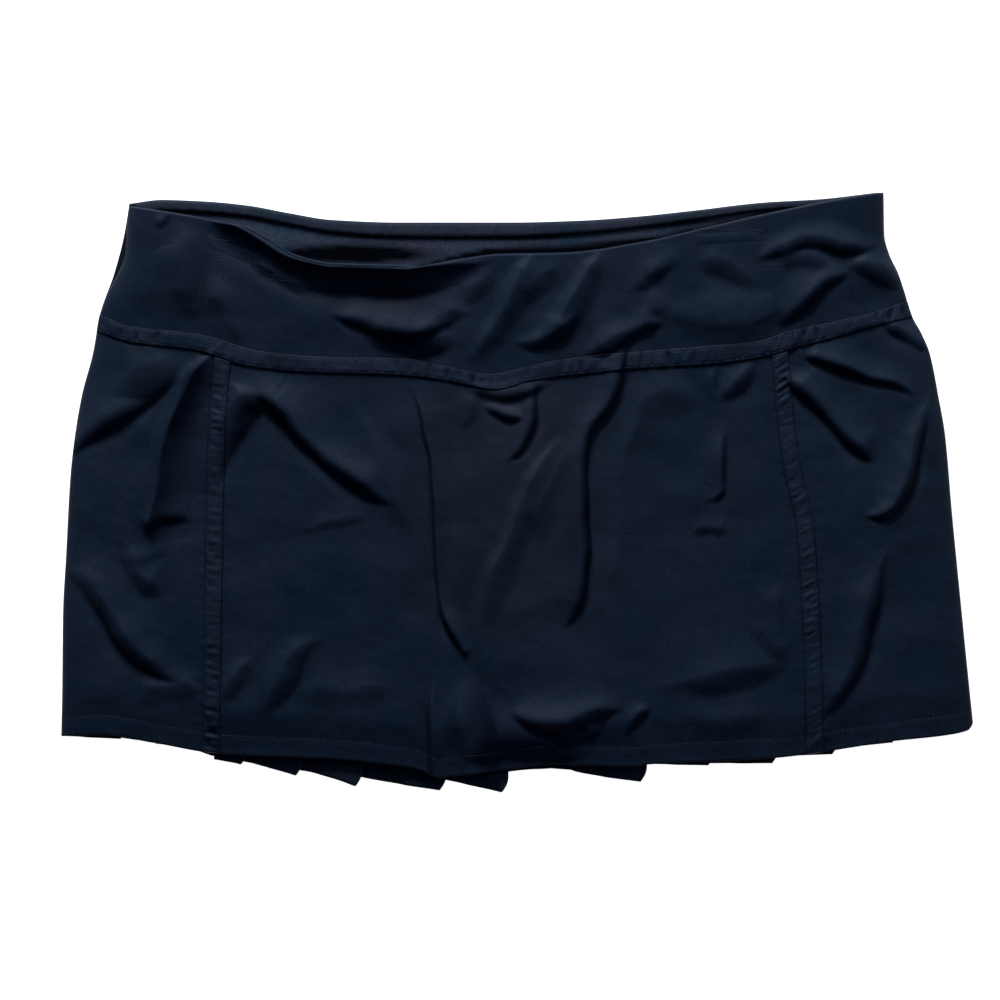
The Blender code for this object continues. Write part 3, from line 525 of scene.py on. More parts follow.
def held(distance, share):
    """What is left of the folds' height at a distance from a taped seam."""
    return 1 - share * bump(distance / HOLD_REACH)


def rolled(distance, radius):
    """How far a folded edge has dropped at a distance in from it."""
    t = np.clip(distance / radius, 0, 1)
    return radius * (1 - np.sqrt(1 - (1 - t) ** 2))


def inside_edges(x, y, left=left_side):
    """Distance in from the nearer side edge."""
    return np.minimum(x - left(y), right_side(y) - x)


def mound(swell, x, y):
    """A soft mound, or its shade."""
    return swell.rise * bump((x - swell.x) / swell.wide) * bump((y - swell.y) / swell.long)


def front_folds(x, y):
    """Height that the folds and mounds add to the front cloth, and the shade painted in the folds."""
    folds = np.zeros(np.shape(x))
    for swell in SWELLS:
        folds += mound(swell, x, y)
    crease = np.zeros(np.shape(x))
    off_x = x + ripple(x, y, WANDER_X)
    off_y = y + ripple(x, y, WANDER_Y)
    for fold in FOLDS:
        add_fold(fold, off_x, off_y, folds, crease)
    folds *= held(y - front_seam(x), TAPE_HOLD)
    for princess in (left_princess, right_princess):
        folds *= np.where(y < front_seam(x), held(x - princess(y), PRINCESS_HOLD), 1)
    return folds + ripple(x, y, SLACK) + ripple(x, y, CRUMPLE), crease


def front_surface(x, y, fine=True):
    """Height of the top of the front cloth at each point, and the shade painted in its folds; fine adds its
    edges and gathers, and the shade painted beside the tapes and along the hem.
    """
    above_hem = smooth((y - front_hem(x)) / HEM_RISE)
    up_band = smooth((y - tape_top(x)) / BAND_RISE)
    base = HEM_HEIGHT + (SKIRT_HEIGHT - HEM_HEIGHT) * above_hem + BAND_EXTRA * up_band
    floor = HEM_FLOOR + (SKIRT_FLOOR - HEM_FLOOR) * above_hem
    folds, crease = front_folds(x, y)
    over = base + folds - floor
    height = floor + (over + np.sqrt(over * over + FLOOR_SOFT)) / 2
    from_side = inside_edges(x, y, front_left)
    rise = np.sqrt(1 - (1 - np.clip(from_side / SHOULDER, 0, 1)) ** 2)
    height = SIDE_HEIGHT + (height - SIDE_HEIGHT) * rise
    if fine:
        height += seam_relief(x, y) * np.clip(from_side / EDGE_CALM, 0, 1) - rolled(from_side, SIDE_ROLL)
        height = np.maximum(height, CLEAR_SIDE + (CLEAR_BACK - CLEAR_SIDE) * smooth(from_side / CLEAR_RISE))
        crease += tape_shade(x, y)
    return height, np.clip(crease, 0, 1)


def tape_shade(x, y):
    """Shade painted on the cloth as dark lines along both edges of every tape, above the hem's stitches and at
    its edge.
    """
    across = np.maximum(y - tape_top(x), tape_bottom(x) - y)
    total = TAPE_SHADE * bump((across - SHADE_OUT) / SHADE_HALF)
    below = y < tape_bottom(x)
    for princess in (left_princess, right_princess):
        aside = np.abs(x - princess(y)) - TAPE_HALF
        total = total + np.where(below, TAPE_SHADE * bump((aside - SHADE_OUT) / SHADE_HALF), 0)
    up = y - front_hem(x)
    return total + HEM_SHADE * bump((up - HEM_DEPTH + 0.2) / SHADE_HALF) + bump(up / EDGE_SHADE_HALF)


def gathers(kind, along, across, turn=0.0):
    """Small gathers in the cloth beside a seam, at places along it and across from it."""
    bend = kind.bend * np.sin(along / kind.bend_pitch + turn)
    wave = np.sin(along / kind.pitch + turn + across * kind.lean + bend)
    return kind.height * bump(across / kind.reach) * wave


def seam_relief(x, y):
    """Gathers along the taped seams and the hem's stitches, and the hem's turned and rolled edge."""
    total = gathers(WAIST_GATHER, x, y - front_seam(x))
    for princess, turn in ((left_princess, 0.4), (right_princess, 1.9)):
        pull = gathers(PRINCESS_GATHER, y, x - princess(y), turn)
        total = total + np.where(y < front_seam(x), pull, 0)
    up = y - front_hem(x)
    hem = gathers(HEM_GATHER, x, up - HEM_DEPTH)
    turned = HEM_STEP * smooth((HEM_DEPTH + 0.8 - up) / 1.6)
    groove = -HEM_GROOVE * bump((up - HEM_DEPTH + GROOVE_BELOW) / 0.9)
    return total + hem + turned + groove - rolled(up, HEM_ROLL)


def grid(left, right, top, bottom, across, down):
    """Points of a piece between two lines down it, x of y, and two lines across it, y of x."""
    u = np.asarray(across)[None, :]
    v = np.asarray(down)[:, None]
    x = np.zeros((v.size, u.size))
    y = np.zeros((v.size, u.size))
    for _ in range(CROSSING_STEPS):
        x = left(y) + (right(y) - left(y)) * u
        y = top(x) + (bottom(x) - top(x)) * v
    return x, y


def shares(length, pitch, fine_start=0.0, fine_end=0.0, zones=()):
    """Places from 0 to 1 about a pitch apart, closer over the first and last millimetres and in the zones."""
    at = np.linspace(0, length, 4001)
    gap = np.full(at.shape, pitch)
    for middle in zones:
        gap[np.abs(at - middle) < ZONE_HALF] = pitch * FINE_ZONE
    gap[(at < fine_start) | (at > length - fine_end)] = pitch * FINE_ENDS
    rank = np.concatenate([[0], np.cumsum(np.diff(at) / gap[:-1])])
    return np.interp(np.linspace(0, rank[-1], math.ceil(rank[-1]) + 1), rank, at) / length


# Materials

def node(tree, kind, **sockets):
    """A new node with values at its inputs; an underscore stands for the space in an input's name."""
    made = tree.nodes.new(kind)
    for name, value in sockets.items():
        made.inputs[name.replace("_", " ")].default_value = value
    return made


def new_material(name):
    """A material with its node tree, its shader, and the place on the object that its textures read."""
    material = bpy.data.materials.new(name)
    material.use_nodes = True
    tree = material.node_tree
    place = tree.nodes.new("ShaderNodeTexCoord").outputs["Object"]
    return material, tree, tree.nodes["Principled BSDF"], place


def mixed(tree, mode, share, first, second):
    """A colour mix of two sockets, where either may be a plain colour; share may be a socket too."""
    mix = tree.nodes.new("ShaderNodeMix")
    mix.data_type = "RGBA"
    mix.blend_type = mode
    plugs = {"Factor": 0, "A": 6, "B": 7}
    for name, value in (("Factor", share), ("A", first), ("B", second)):
        socket = mix.inputs[plugs[name]]
        if isinstance(value, bpy.types.NodeSocket):
            tree.links.new(value, socket)
        else:
            socket.default_value = value
    return mix.outputs[2]


def scaled(tree, socket, low, high):
    """A number carried from a range to 0 to 1, held at its ends."""
    ranged = node(tree, "ShaderNodeMapRange", From_Min=low, From_Max=high, To_Min=0.0, To_Max=1.0)
    tree.links.new(socket, ranged.inputs["Value"])
    return ranged.outputs["Result"]


def joined(tree, operation, first, second):
    """Two numbers made into one by a sum of that name."""
    made = tree.nodes.new("ShaderNodeMath")
    made.operation = operation
    tree.links.new(first, made.inputs[0])
    tree.links.new(second, made.inputs[1])
    return made.outputs[0]


def noise(tree, place, size, detail, rough=0.5):
    """Noise with lumps of about a size in millimetres."""
    made = node(tree, "ShaderNodeTexNoise", Scale=1 / (size * MM), Detail=detail, Roughness=rough)
    tree.links.new(place, made.inputs["Vector"])
    return made.outputs["Fac"]


def threads(tree, place, direction, pitch):
    """Threads of a weave that follow each other along one direction."""
    made = node(tree, "ShaderNodeTexWave", Scale=WAVE_SCALE / (pitch * MM), Distortion=0.6, Detail=1.0)
    made.bands_direction = direction
    tree.links.new(place, made.inputs["Vector"])
    return made.outputs["Fac"]


def stored(tree, name):
    """A value that the mesh keeps at each of its points."""
    made = tree.nodes.new("ShaderNodeAttribute")
    made.attribute_name = name
    return made.outputs["Fac"]


def grey(value):
    """A grey, or a plain number, as a colour."""
    return (value, value, value, 1.0)


def times(colour, factors):
    """A colour with its red, green and blue each multiplied."""
    return (*[channel * factor for channel, factor in zip(colour, factors)], 1.0)


# How a cloth looks. weave: strength of its threads' relief. pitch: from thread to thread. pinched: the shares
# of its red, green and blue that are left where shade is painted fully, at the bottom of a crease.
Look = namedtuple("Look", "name colour roughness weave pitch lustre pinched")
CREASE_SHADE_SHARES = (0.07, 0.27, 0.46)
MOUTH_SHADE_SHARES = (0.01, 0.02, 0.04)
LOOKS = [
    Look("navy_woven", (0.0034, 0.0090, 0.0214), 0.66, 0.14, 0.7, 0.09, CREASE_SHADE_SHARES),
    # Lighter copy of the navy: painted light on the pleats, which lie in the front's shadow
    Look("navy_pleats", (0.0085, 0.0138, 0.0275), 0.7, 0.14, 0.7, 0.08, CREASE_SHADE_SHARES),
    # Lighter copy of the navy: painted light where the casing's arch faces the lamp
    Look("navy_casing", (0.0135, 0.0200, 0.0355), 0.7, 0.14, 0.7, 0.08, CREASE_SHADE_SHARES),
    # Lighter copy of the navy: partly painted light on the band's upturned inside, partly the wrong side's own
    # lighter tone
    Look("navy_inside", (0.0270, 0.0370, 0.0640), 0.8, 0.14, 0.7, 0.03, MOUTH_SHADE_SHARES),
    Look("navy_tape", (0.0052, 0.0106, 0.0240), 0.66, 0.2, 0.7, 0.09, CREASE_SHADE_SHARES),
    Look("navy_knit", (0.0062, 0.009, 0.0165), 0.9, 0.4, 1.2, 0.04, CREASE_SHADE_SHARES),
]
THREAD_COLOUR = (0.0085, 0.0135, 0.027)
LIGHTER = (1.7, 1.25, 1.16)             # slow changes of a cloth's colour, each way
DARKER = (0.4, 0.86, 0.84)
EVEN_SHARE = 0.35                       # share of its own even colour
WARM_MORE = (0.0050, 0.0038, 0.0010)    # added to the colour where warm light is painted
SLOW_SIZE = 38.0                        # millimetres, as are the sizes of the speckle and the thread's twist
SPECKLE_SIZE = 1.3
TWIST_SIZE = 0.9
GRAIN_DARK = (0.68, 0.68, 0.72, 1.0)    # what the speckle multiplies the colour by
GRAIN_LIGHT = (1.32, 1.32, 1.28, 1.0)
WAVE_SCALE = 0.314 / 2                  # scale of the wave texture for one thread in each unit of length
RELIEF_DEPTH = 0.25                     # depth of the threads' relief
ROUGH_SPREAD = 0.05                     # how far the roughness changes each way


def cloth_material(look):
    """Fine woven or knitted cloth: threads, speckle, slow colour changes, painted warm light, and shade painted
    in pinched folds.
    """
    material, tree, shader, place = new_material(look.name)
    crease = stored(tree, "crease")
    slow = scaled(tree, noise(tree, place, SLOW_SIZE, 4.0, 0.6), 0.35, 0.65)
    speckle = scaled(tree, noise(tree, place, SPECKLE_SIZE, 2.0, 0.7), 0.3, 0.7)
    hue = mixed(tree, "MIX", slow, times(look.colour, DARKER), times(look.colour, LIGHTER))
    hue = mixed(tree, "MIX", EVEN_SHARE, hue, (*look.colour, 1.0))
    hue = mixed(tree, "MULTIPLY", 1.0, hue, mixed(tree, "MIX", speckle, GRAIN_DARK, GRAIN_LIGHT))
    warm = [channel + more for channel, more in zip(look.colour, WARM_MORE)]
    # Painted warm light down the middle of the skirt
    hue = mixed(tree, "MIX", stored(tree, "tone"), hue, (*warm, 1.0))
    # Painted shade: the colour darkens towards the pinched shares in the creases
    shade = mixed(tree, "MIX", crease, grey(1.0), (*look.pinched, 1.0))
    tree.links.new(mixed(tree, "MULTIPLY", 1.0, hue, shade), shader.inputs["Base Color"])

    weft = threads(tree, place, "X", look.pitch)
    warp = threads(tree, place, "Y", look.pitch)
    surface = joined(tree, "ADD", joined(tree, "MAXIMUM", weft, warp), speckle)
    relief = node(tree, "ShaderNodeBump", Strength=look.weave, Distance=RELIEF_DEPTH * MM)
    tree.links.new(surface, relief.inputs["Height"])
    tree.links.new(relief.outputs["Normal"], shader.inputs["Normal"])

    matt = mixed(tree, "MIX", slow, grey(look.roughness - ROUGH_SPREAD), grey(look.roughness + ROUGH_SPREAD))
    tree.links.new(mixed(tree, "MIX", crease, matt, grey(1.0)), shader.inputs["Roughness"])
    shader.inputs["Metallic"].default_value = 0.0
    shader.inputs["Specular IOR Level"].default_value = look.lustre
    return material


def thread_material(name, colour):
    """Sewing thread with its own fine twist."""
    material, tree, shader, place = new_material(name)
    twist = scaled(tree, noise(tree, place, TWIST_SIZE, 1.0), 0.35, 0.65)
    hue = mixed(tree, "MIX", twist, times(colour, (0.6, 0.6, 0.6)), times(colour, (1.5, 1.5, 1.5)))
    tree.links.new(hue, shader.inputs["Base Color"])
    shader.inputs["Roughness"].default_value = 0.55
    shader.inputs["Specular IOR Level"].default_value = 0.4
    return material


# Pieces

def placed(name, mesh, material):
    """The mesh as an object of the scene, with its material."""
    mesh.materials.append(material)
    piece = bpy.data.objects.new(name, mesh)
    bpy.context.scene.collection.objects.link(piece)
    return piece


def flat_grid(name, columns, rows, size):
    """A mesh of a flat square with so many faces each way."""
    mesh = bpy.data.meshes.new(name)
    form = bmesh.new()
    bmesh.ops.create_grid(form, x_segments=columns, y_segments=rows, size=size)
    form.to_mesh(mesh)
    form.free()
    return mesh


def cloth_piece(node_name, points, thickness, material, crease=None, tone=None, side=-1):
    """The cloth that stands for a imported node: a grid laid on the points and thickened by Solidify.

    side: -1 where the points are the upper face, 0 where they are the middle of the cloth.
    """
    x, y, z = points
    rows, columns = x.shape
    mesh = flat_grid(node_name + "_cloth", columns - 1, rows - 1, 1.0)
    flat = np.zeros(rows * columns * 3, np.float32)
    mesh.vertices.foreach_get("co", flat)
    flat = flat.reshape(-1, 3)
    column = np.rint((flat[:, 0] + 1) / 2 * (columns - 1)).astype(int)
    row = np.rint((1 - flat[:, 1]) / 2 * (rows - 1)).astype(int)
    places = np.stack([x[row, column], y[row, column], z[row, column]], axis=1) * MM
    mesh.vertices.foreach_set("co", places.astype(np.float32).ravel())
    # Painted shade and painted warm light, kept on the points for the material to read
    for label, values in (("crease", crease), ("tone", tone)):
        attribute = mesh.attributes.new(label, "FLOAT", "POINT")
        values = np.zeros_like(x) if values is None else np.clip(values, 0, 1)
        attribute.data.foreach_set("value", values[row, column].astype(np.float32))
    mesh.update()
    mesh.shade_smooth()
    piece = placed(mesh.name, mesh, material)
    wall = piece.modifiers.new("wall", "SOLIDIFY")
    wall.thickness = thickness * MM
    wall.offset = side
    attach(piece, "root")
    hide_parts(node_name)
    return piece


def edged(count, margins):
    """Places from -1 to 1 across a tape: so many between its two margins, and closer ones in them."""
    margin, inner = margins
    low = np.linspace(-1, margin - 1, EDGE_ROWS)
    high = np.linspace(1 - margin, 1, EDGE_ROWS)
    return np.concatenate([low, np.linspace(inner - 1, 1 - inner, count), high])


WARM = 0.62             # strength of the warm light painted down the middle of the skirt
WARM_X = -5.0           # x of that middle, and its half width
WARM_WIDE = 52.0
WARM_LOW = -100.0       # y where it begins and ends, and over what lengths
WARM_LOW_BLEND = 45.0
WARM_HIGH = 78.0
WARM_HIGH_BLEND = 30.0


def painted_warm_light_at(x, y):
    """Where warm light is painted, down the middle of the skirt."""
    lengthwise = smooth((y - WARM_LOW) / WARM_LOW_BLEND) * smooth((WARM_HIGH - y) / WARM_HIGH_BLEND)
    return WARM * bump((x - WARM_X) / WARM_WIDE) * lengthwise


def front_panel(node_name, left, right, across, pitch, material):
    """One panel of the front skirt, from the waist seam to the hem."""
    down = shares(PANEL_LONG, pitch * LONG_FACES, 0, FINE_HEM)
    x, y = grid(left, right, shifted(front_seam, -HALF_GAP), front_hem, across, down)
    z, crease = front_surface(x, y)
    return cloth_piece(node_name, (x, y, z), CLOTH, material, crease, painted_warm_light_at(x, y))


def make_front(cloth):
    """The three panels of the front skirt: left, centre and right."""
    left = front_panel("front_side_panel_left", front_left, shifted(left_princess, -HALF_GAP),
                       shares(LEFT_WIDE, SIDE_PITCH, FINE_SIDE, FINE_SIDE), SIDE_PITCH, cloth)
    centre = front_panel("front_centre_panel", shifted(left_princess, HALF_GAP),
                         shifted(right_princess, -HALF_GAP),
                         shares(CENTRE_WIDE, PITCH, FINE_SIDE, FINE_SIDE, CRISP_ZONES), PITCH, cloth)
    right = front_panel("front_side_panel_right", shifted(right_princess, HALF_GAP), right_side,
                        shares(RIGHT_WIDE, SIDE_PITCH, FINE_SIDE, FINE_SIDE), SIDE_PITCH, cloth)
    return left, centre, right


def make_front_band(cloth):
    """The front waistband, whose upper edge is folded over."""
    x, y = grid(front_left, right_side, front_top, shifted(front_seam, HALF_GAP),
                shares(BAND_WIDE, PITCH, FINE_SIDE, FINE_SIDE), shares(BAND_DEEP, PITCH, FINE_HEM, 0))
    z, crease = front_surface(x, y)
    z -= rolled(front_top(x) - y, BAND_ROLL)
    return cloth_piece("front_waistband", (x, y, z), CLOTH, cloth, crease)


def make_facing(cloth):
    """The facing behind the band, a second edge along the lip."""
    def top(x):
        """Its upper edge: behind the band's, and above it along the lip."""
        proud = smooth((x - LIP_LEFT) / LIP_BLEND) * smooth((LIP_RIGHT - x) / LIP_BLEND)
        return front_top(x) + FACING_PROUD * proud - FACING_BEHIND

    down = shares(FACING_DEEP, 1.0, FINE_SIDE, 0)
    x, y = grid(shifted(left_side, FACING_IN), shifted(right_side, -FACING_IN), top,
                shifted(front_top, -FACING_DEEP), shares(CASING_WIDE, 1.6), down)
    z, _ = front_surface(x, np.minimum(y, front_top(x)), fine=False)
    z -= CLOTH + FACING_UNDER + rolled(top(x) - y, 1.0)
    return cloth_piece("front_waist_facing", (x, y, z), TRIM, cloth)


# How a tape gathers between its stitches. gather: height. slant: how far its gathers lean across it.
Tape = namedtuple("Tape", "gather seed slant")
WAIST_TAPE = Tape(0.3, 41, 0.8)
LEFT_TAPE = Tape(0.42, 52, 0.5)
RIGHT_TAPE = Tape(0.42, 61, -2.2)
ROW_AT = 0.74           # place of a tape's row of stitches and half width of its groove, in half tapes
ROW_HALF = 0.11
ROW_GROOVE = 0.16
ROW_HOLD = 0.6          # share of the gathers' height that a row takes away
PILLOW = 0.25           # how far the tape arches up, how far its edges drop, and how level it is between
EDGE_DROP = 0.3
PILLOW_POWER = 6
CLEAR_TAPE = 0.15       # how far it stands off the cloth below
CREASE_SHADE_ON_TAPE = 0.6    # share of the cloth's painted crease shade that shows on the tape


def tape_profile(tape, t, s):
    """Height of a stitched tape, and shade painted in its pinholes and in the troughs of its gathers: t runs -1
    to 1 across it, s is the length along it.
    """
    wave = ripple(s + tape.slant * t, t * 1.6, Ripple(tape.seed, 8.0, 3.0, 1.0, 12))
    strength = 0.75 + 0.55 * ripple(s, 0 * s, Ripple(tape.seed + 1, 90, 30, 1.0, 5))
    pillow = 1 - np.clip(np.abs(t), 0, 1) ** PILLOW_POWER
    row = bump((np.abs(t) - ROW_AT) / ROW_HALF)
    height = pillow * (PILLOW + tape.gather * wave * strength * (1 - ROW_HOLD * row))
    holes = row * (0.2 + 0.4 * (0.5 + 0.5 * np.sin(2 * math.pi * s / TAPE_STITCH.pitch)))
    troughs = 0.8 * np.clip(-wave * strength - 0.2, 0, 1) * pillow
    return height - ROW_GROOVE * row - EDGE_DROP * (1 - pillow), holes + troughs


def on_tape(tape, x, y, t, s):
    """Height of a tape that lies on the front, and the shade painted on it."""
    z, crease = front_surface(x, y, fine=False)
    height, dark = tape_profile(tape, t, s)
    return z + SEAM_GAP + TRIM + height + CLEAR_TAPE, crease * CREASE_SHADE_ON_TAPE + dark


# Where folds of the cloth cross the waist tape, dipping it, with shade painted in the dip. at: x. width: half
# width of the mark. dark: strength of the dip and of its painted shade.
Nick = namedtuple("Nick", "at width dark")
NICKS = [
    Nick(-206, 4.0, 0.3), Nick(-190, 3.5, 0.25), Nick(-136, 3.0, 0.35), Nick(-51, 1.2, 0.7),
    Nick(-25, 1.6, 0.6), Nick(5, 4.0, 0.45), Nick(24, 1.6, 0.5), Nick(61, 0.9, 0.95), Nick(70, 0.9, 0.75),
    Nick(124, 5.0, 0.35), Nick(161, 3.0, 0.5), Nick(196, 3.0, 0.2),
]
NICK_DEPTH = 0.25
NICK_LEAN = 0.2
WAIST_TAPES = [("left", -262.0, -177.0), ("centre", -178.6, 156.6), ("right", 155.0, 262.0)]
TAPE_LEFT_Y = 92.0      # y of the waist tape at the two sides
TAPE_RIGHT_Y = 102.0
LAP_SLANT = 0.25        # slant of a lapped end, and the y at which its x is given
LAP_Y = 86.0
LAP_RISE = 0.55         # how far the middle length rises onto its neighbours


def make_waist_tapes(tape):
    """The tape on the waist seam, in three lengths; both ends of the middle one lie over its neighbours."""
    made = []
    across = edged(15, TAPE_MARGINS)
    for name, first, last in WAIST_TAPES:
        start = max(first, float(left_side(TAPE_LEFT_Y)))
        stop = min(last, float(right_side(TAPE_RIGHT_Y)))
        left = left_side if name == "left" else (lambda y, at=start: at + LAP_SLANT * (y - LAP_Y))
        right = right_side if name == "right" else (lambda y, at=stop: at)
        along = shares(stop - start, TAPE_PITCH, 1.4, 1.4)
        x, y = grid(left, right, tape_top, tape_bottom, along, (across + 1) / 2)
        t = np.broadcast_to(across[:, None], x.shape)
        z, crease = on_tape(WAIST_TAPE, x, y, t, x)
        for nick in NICKS:
            mark = bump((x - nick.at - NICK_LEAN * (y - front_seam(x))) / nick.width)
            z -= NICK_DEPTH * nick.dark * mark
            # Painted shade in each nick
            crease = crease + nick.dark * mark
        if name == "centre":
            z += LAP_RISE * (smooth((start + 9 - x) / 7) + smooth((x - stop + 7) / 7))
            z -= 0.5 * (rolled(x - left(y), 0.8) + rolled(stop - x, 0.8))
        z -= rolled(inside_edges(x, y), SIDE_ROLL)
        made.append(cloth_piece("waist_tape_" + name, (x, y, z), TRIM, tape, crease))
    return made


def make_princess_tapes(tape):
    """The tapes down the two long seams, tucked under the waist tape and folded at the hem."""
    made = []
    across = edged(13, TAPE_MARGINS)
    down = shares(PRINCESS_LONG, TAPE_PITCH, 0, 1.5)
    for name, princess, kind in (("left", left_princess, LEFT_TAPE), ("right", right_princess, RIGHT_TAPE)):
        x, y = grid(shifted(princess, -TAPE_HALF), shifted(princess, TAPE_HALF),
                    shifted(tape_bottom, -TAPE_UNDER), shifted(front_hem, TAPE_ABOVE_HEM),
                    (across + 1) / 2, down)
        t = np.broadcast_to(across[None, :], x.shape)
        z, crease = on_tape(kind, x, y, t, y)
        z -= rolled(y - front_hem(x) - TAPE_ABOVE_HEM, 1.0)
        made.append(cloth_piece("princess_tape_" + name, (x, y, z), TRIM, tape, crease))
    return made


# The welts of the two band pockets. start, end: both ends of the upper edge.
Welt = namedtuple("Welt", "name start end depth")
WELTS = [
    Welt("left", (-176.0, 147.0), (-138.0, 131.0), 7.0),
    Welt("right", (101.0, 146.0), (139.0, 149.0), 6.0),
]
WELT_CLOTH = 0.4 * TRIM
WELT_RISE = 2.2         # width over which a welt rises from the band


def make_welts(cloth):
    """The welts, which lie on the band."""
    made = []
    for welt in WELTS:
        (x0, y0), (x1, y1) = welt.start, welt.end

        def top(x):
            """The welt's upper edge: y for each x."""
            return y0 + (y1 - y0) * ((x - x0) / (x1 - x0))

        bottom = shifted(top, -welt.depth)
        x, y = grid(lambda y: x0 + 0 * y, lambda y: x1 + 0 * y, top, bottom,
                    shares(WELT_WIDE, 0.8, 1, 1), shares(welt.depth, 0.7, 1, 1))
        z, crease = front_surface(x, y)
        inside = np.minimum(np.minimum(x - x0, x1 - x), np.minimum(top(x) - y, y - bottom(x)))
        z += 0.02 + WELT_CLOTH * smooth(inside / WELT_RISE)
        made.append(cloth_piece("pocket_welt_" + welt.name, (x, y, z), WELT_CLOTH, cloth, crease))
    return made


CASING_BASE = 1.4 + TRIM    # height of the casing's edges, above the band that it lies on
CASING_ARCH = 0.9
CASING_GATHER = 0.14
CASING_DROP = 0.25
CASING_EDGE_SHADE = 0.7           # painted shade along its two edges, and their half width in half casings
CASING_EDGE_HALF = 0.14
CASING_IN = 4.0             # how far it ends in from the sides
BACK_SLACK = 0.25           # how far the back band rises off the table, and over what width
BACK_SLACK_RISE = 3.0

# Painted shade of the mouth. gap_width: width of the painted dark gap above the front's edge, for each x.
gap_width = curve([(-70, 0.8), (-40, 2.8), (-20, 4.4), (30, 5.2), (60, 4.0), (90, 2.2), (150, 1.2)])
GAP_LEFT = -74.0
GAP_BLEND = 24.0
GAP_SOFT = 1.3
# Painted shade under the lip's overhang, as a soft mound of dark
OVERHANG = Swell(-95, 136, 38, 4.4, 2.4)
UNDER_CASING = 0.85         # painted shade under the casing's lower edge, how far below it, and its half width
UNDER_CASING_AT = 0.4
UNDER_CASING_HALF = 0.75
LEFT_DARK = 0.7             # painted shade at the mouth's left end, how far in it reaches and over what width it goes
LEFT_DARK_REACH = 8.0
LEFT_DARK_BLEND = 4.0


def casing_line(x):
    """Lower edge of the casing."""
    return back_top(x) - casing_width(x)


def back_height(x, y):
    """Top of the back band, which lies on the table and curls up at its two sides."""
    slack = BACK_SLACK * smooth((back_top(x) - y) / BACK_SLACK_RISE) * (1 + ripple(x, y, BACK_RIPPLE))
    return np.maximum(CLOTH + slack, CLOTH) + SIDE_CURL * bump(inside_edges(x, y) / CURL_REACH)


def mouth_shade(x, y):
    """Painted shade of the mouth: above the front edge, under the lip's overhang and the casing, and at the
    left.
    """
    past_gap = y - front_top(x) - gap_width(x) + 1
    edge = np.where(past_gap < 0, 1, bump(past_gap / GAP_SOFT)) * smooth((x - GAP_LEFT) / GAP_BLEND)
    overhang = np.minimum(mound(OVERHANG, x, y), 1)
    under_casing = UNDER_CASING * bump((casing_line(x) - y - UNDER_CASING_AT) / UNDER_CASING_HALF)
    left_end = LEFT_DARK * smooth((left_side(y) + LEFT_DARK_REACH - x) / LEFT_DARK_BLEND)
    return np.clip(edge + overhang + under_casing + left_end, 0, 1)


def make_back_band(inner, lit_casing_cloth):
    """The back waistband, its inner side up, and the casing along its top edge."""
    x, y = grid(left_side, right_side, back_top, shifted(back_seam, HALF_GAP),
                shares(BACK_WIDE, BACK_PITCH, 1, 1), shares(BAND_DEEP, BACK_PITCH, FINE_SIDE, 0))
    points = (x, y, back_height(x, y))
    band = cloth_piece("back_waistband", points, CLOTH, inner, mouth_shade(x, y))

    across = edged(9, CASING_MARGINS)
    x, y = grid(shifted(left_side, CASING_IN), shifted(right_side, -CASING_IN), shifted(back_top, -0.1),
                casing_line, shares(CASING_WIDE, 1.0, 1, 1), (across + 1) / 2)
    t = np.broadcast_to(across[:, None], x.shape)
    gather = CASING_GATHER * np.sin(x / 1.3 + 1.5 * np.sin(x / 12)) * (1 - t * t)
    z = CASING_BASE + CASING_ARCH * (1 - t ** 4) + gather - CASING_DROP * np.abs(t) ** 4
    # Painted shade along the casing's two edges
    edges = CASING_EDGE_SHADE * bump((np.abs(t) - 1) / CASING_EDGE_HALF)
    casing = cloth_piece("back_waist_casing", (x, y, z), TRIM, lit_casing_cloth, edges)
    return band, casing


def turns(steps):
    """Angles of a half turn in so many steps."""
    return [math.pi * k / steps for k in range(steps + 1)]


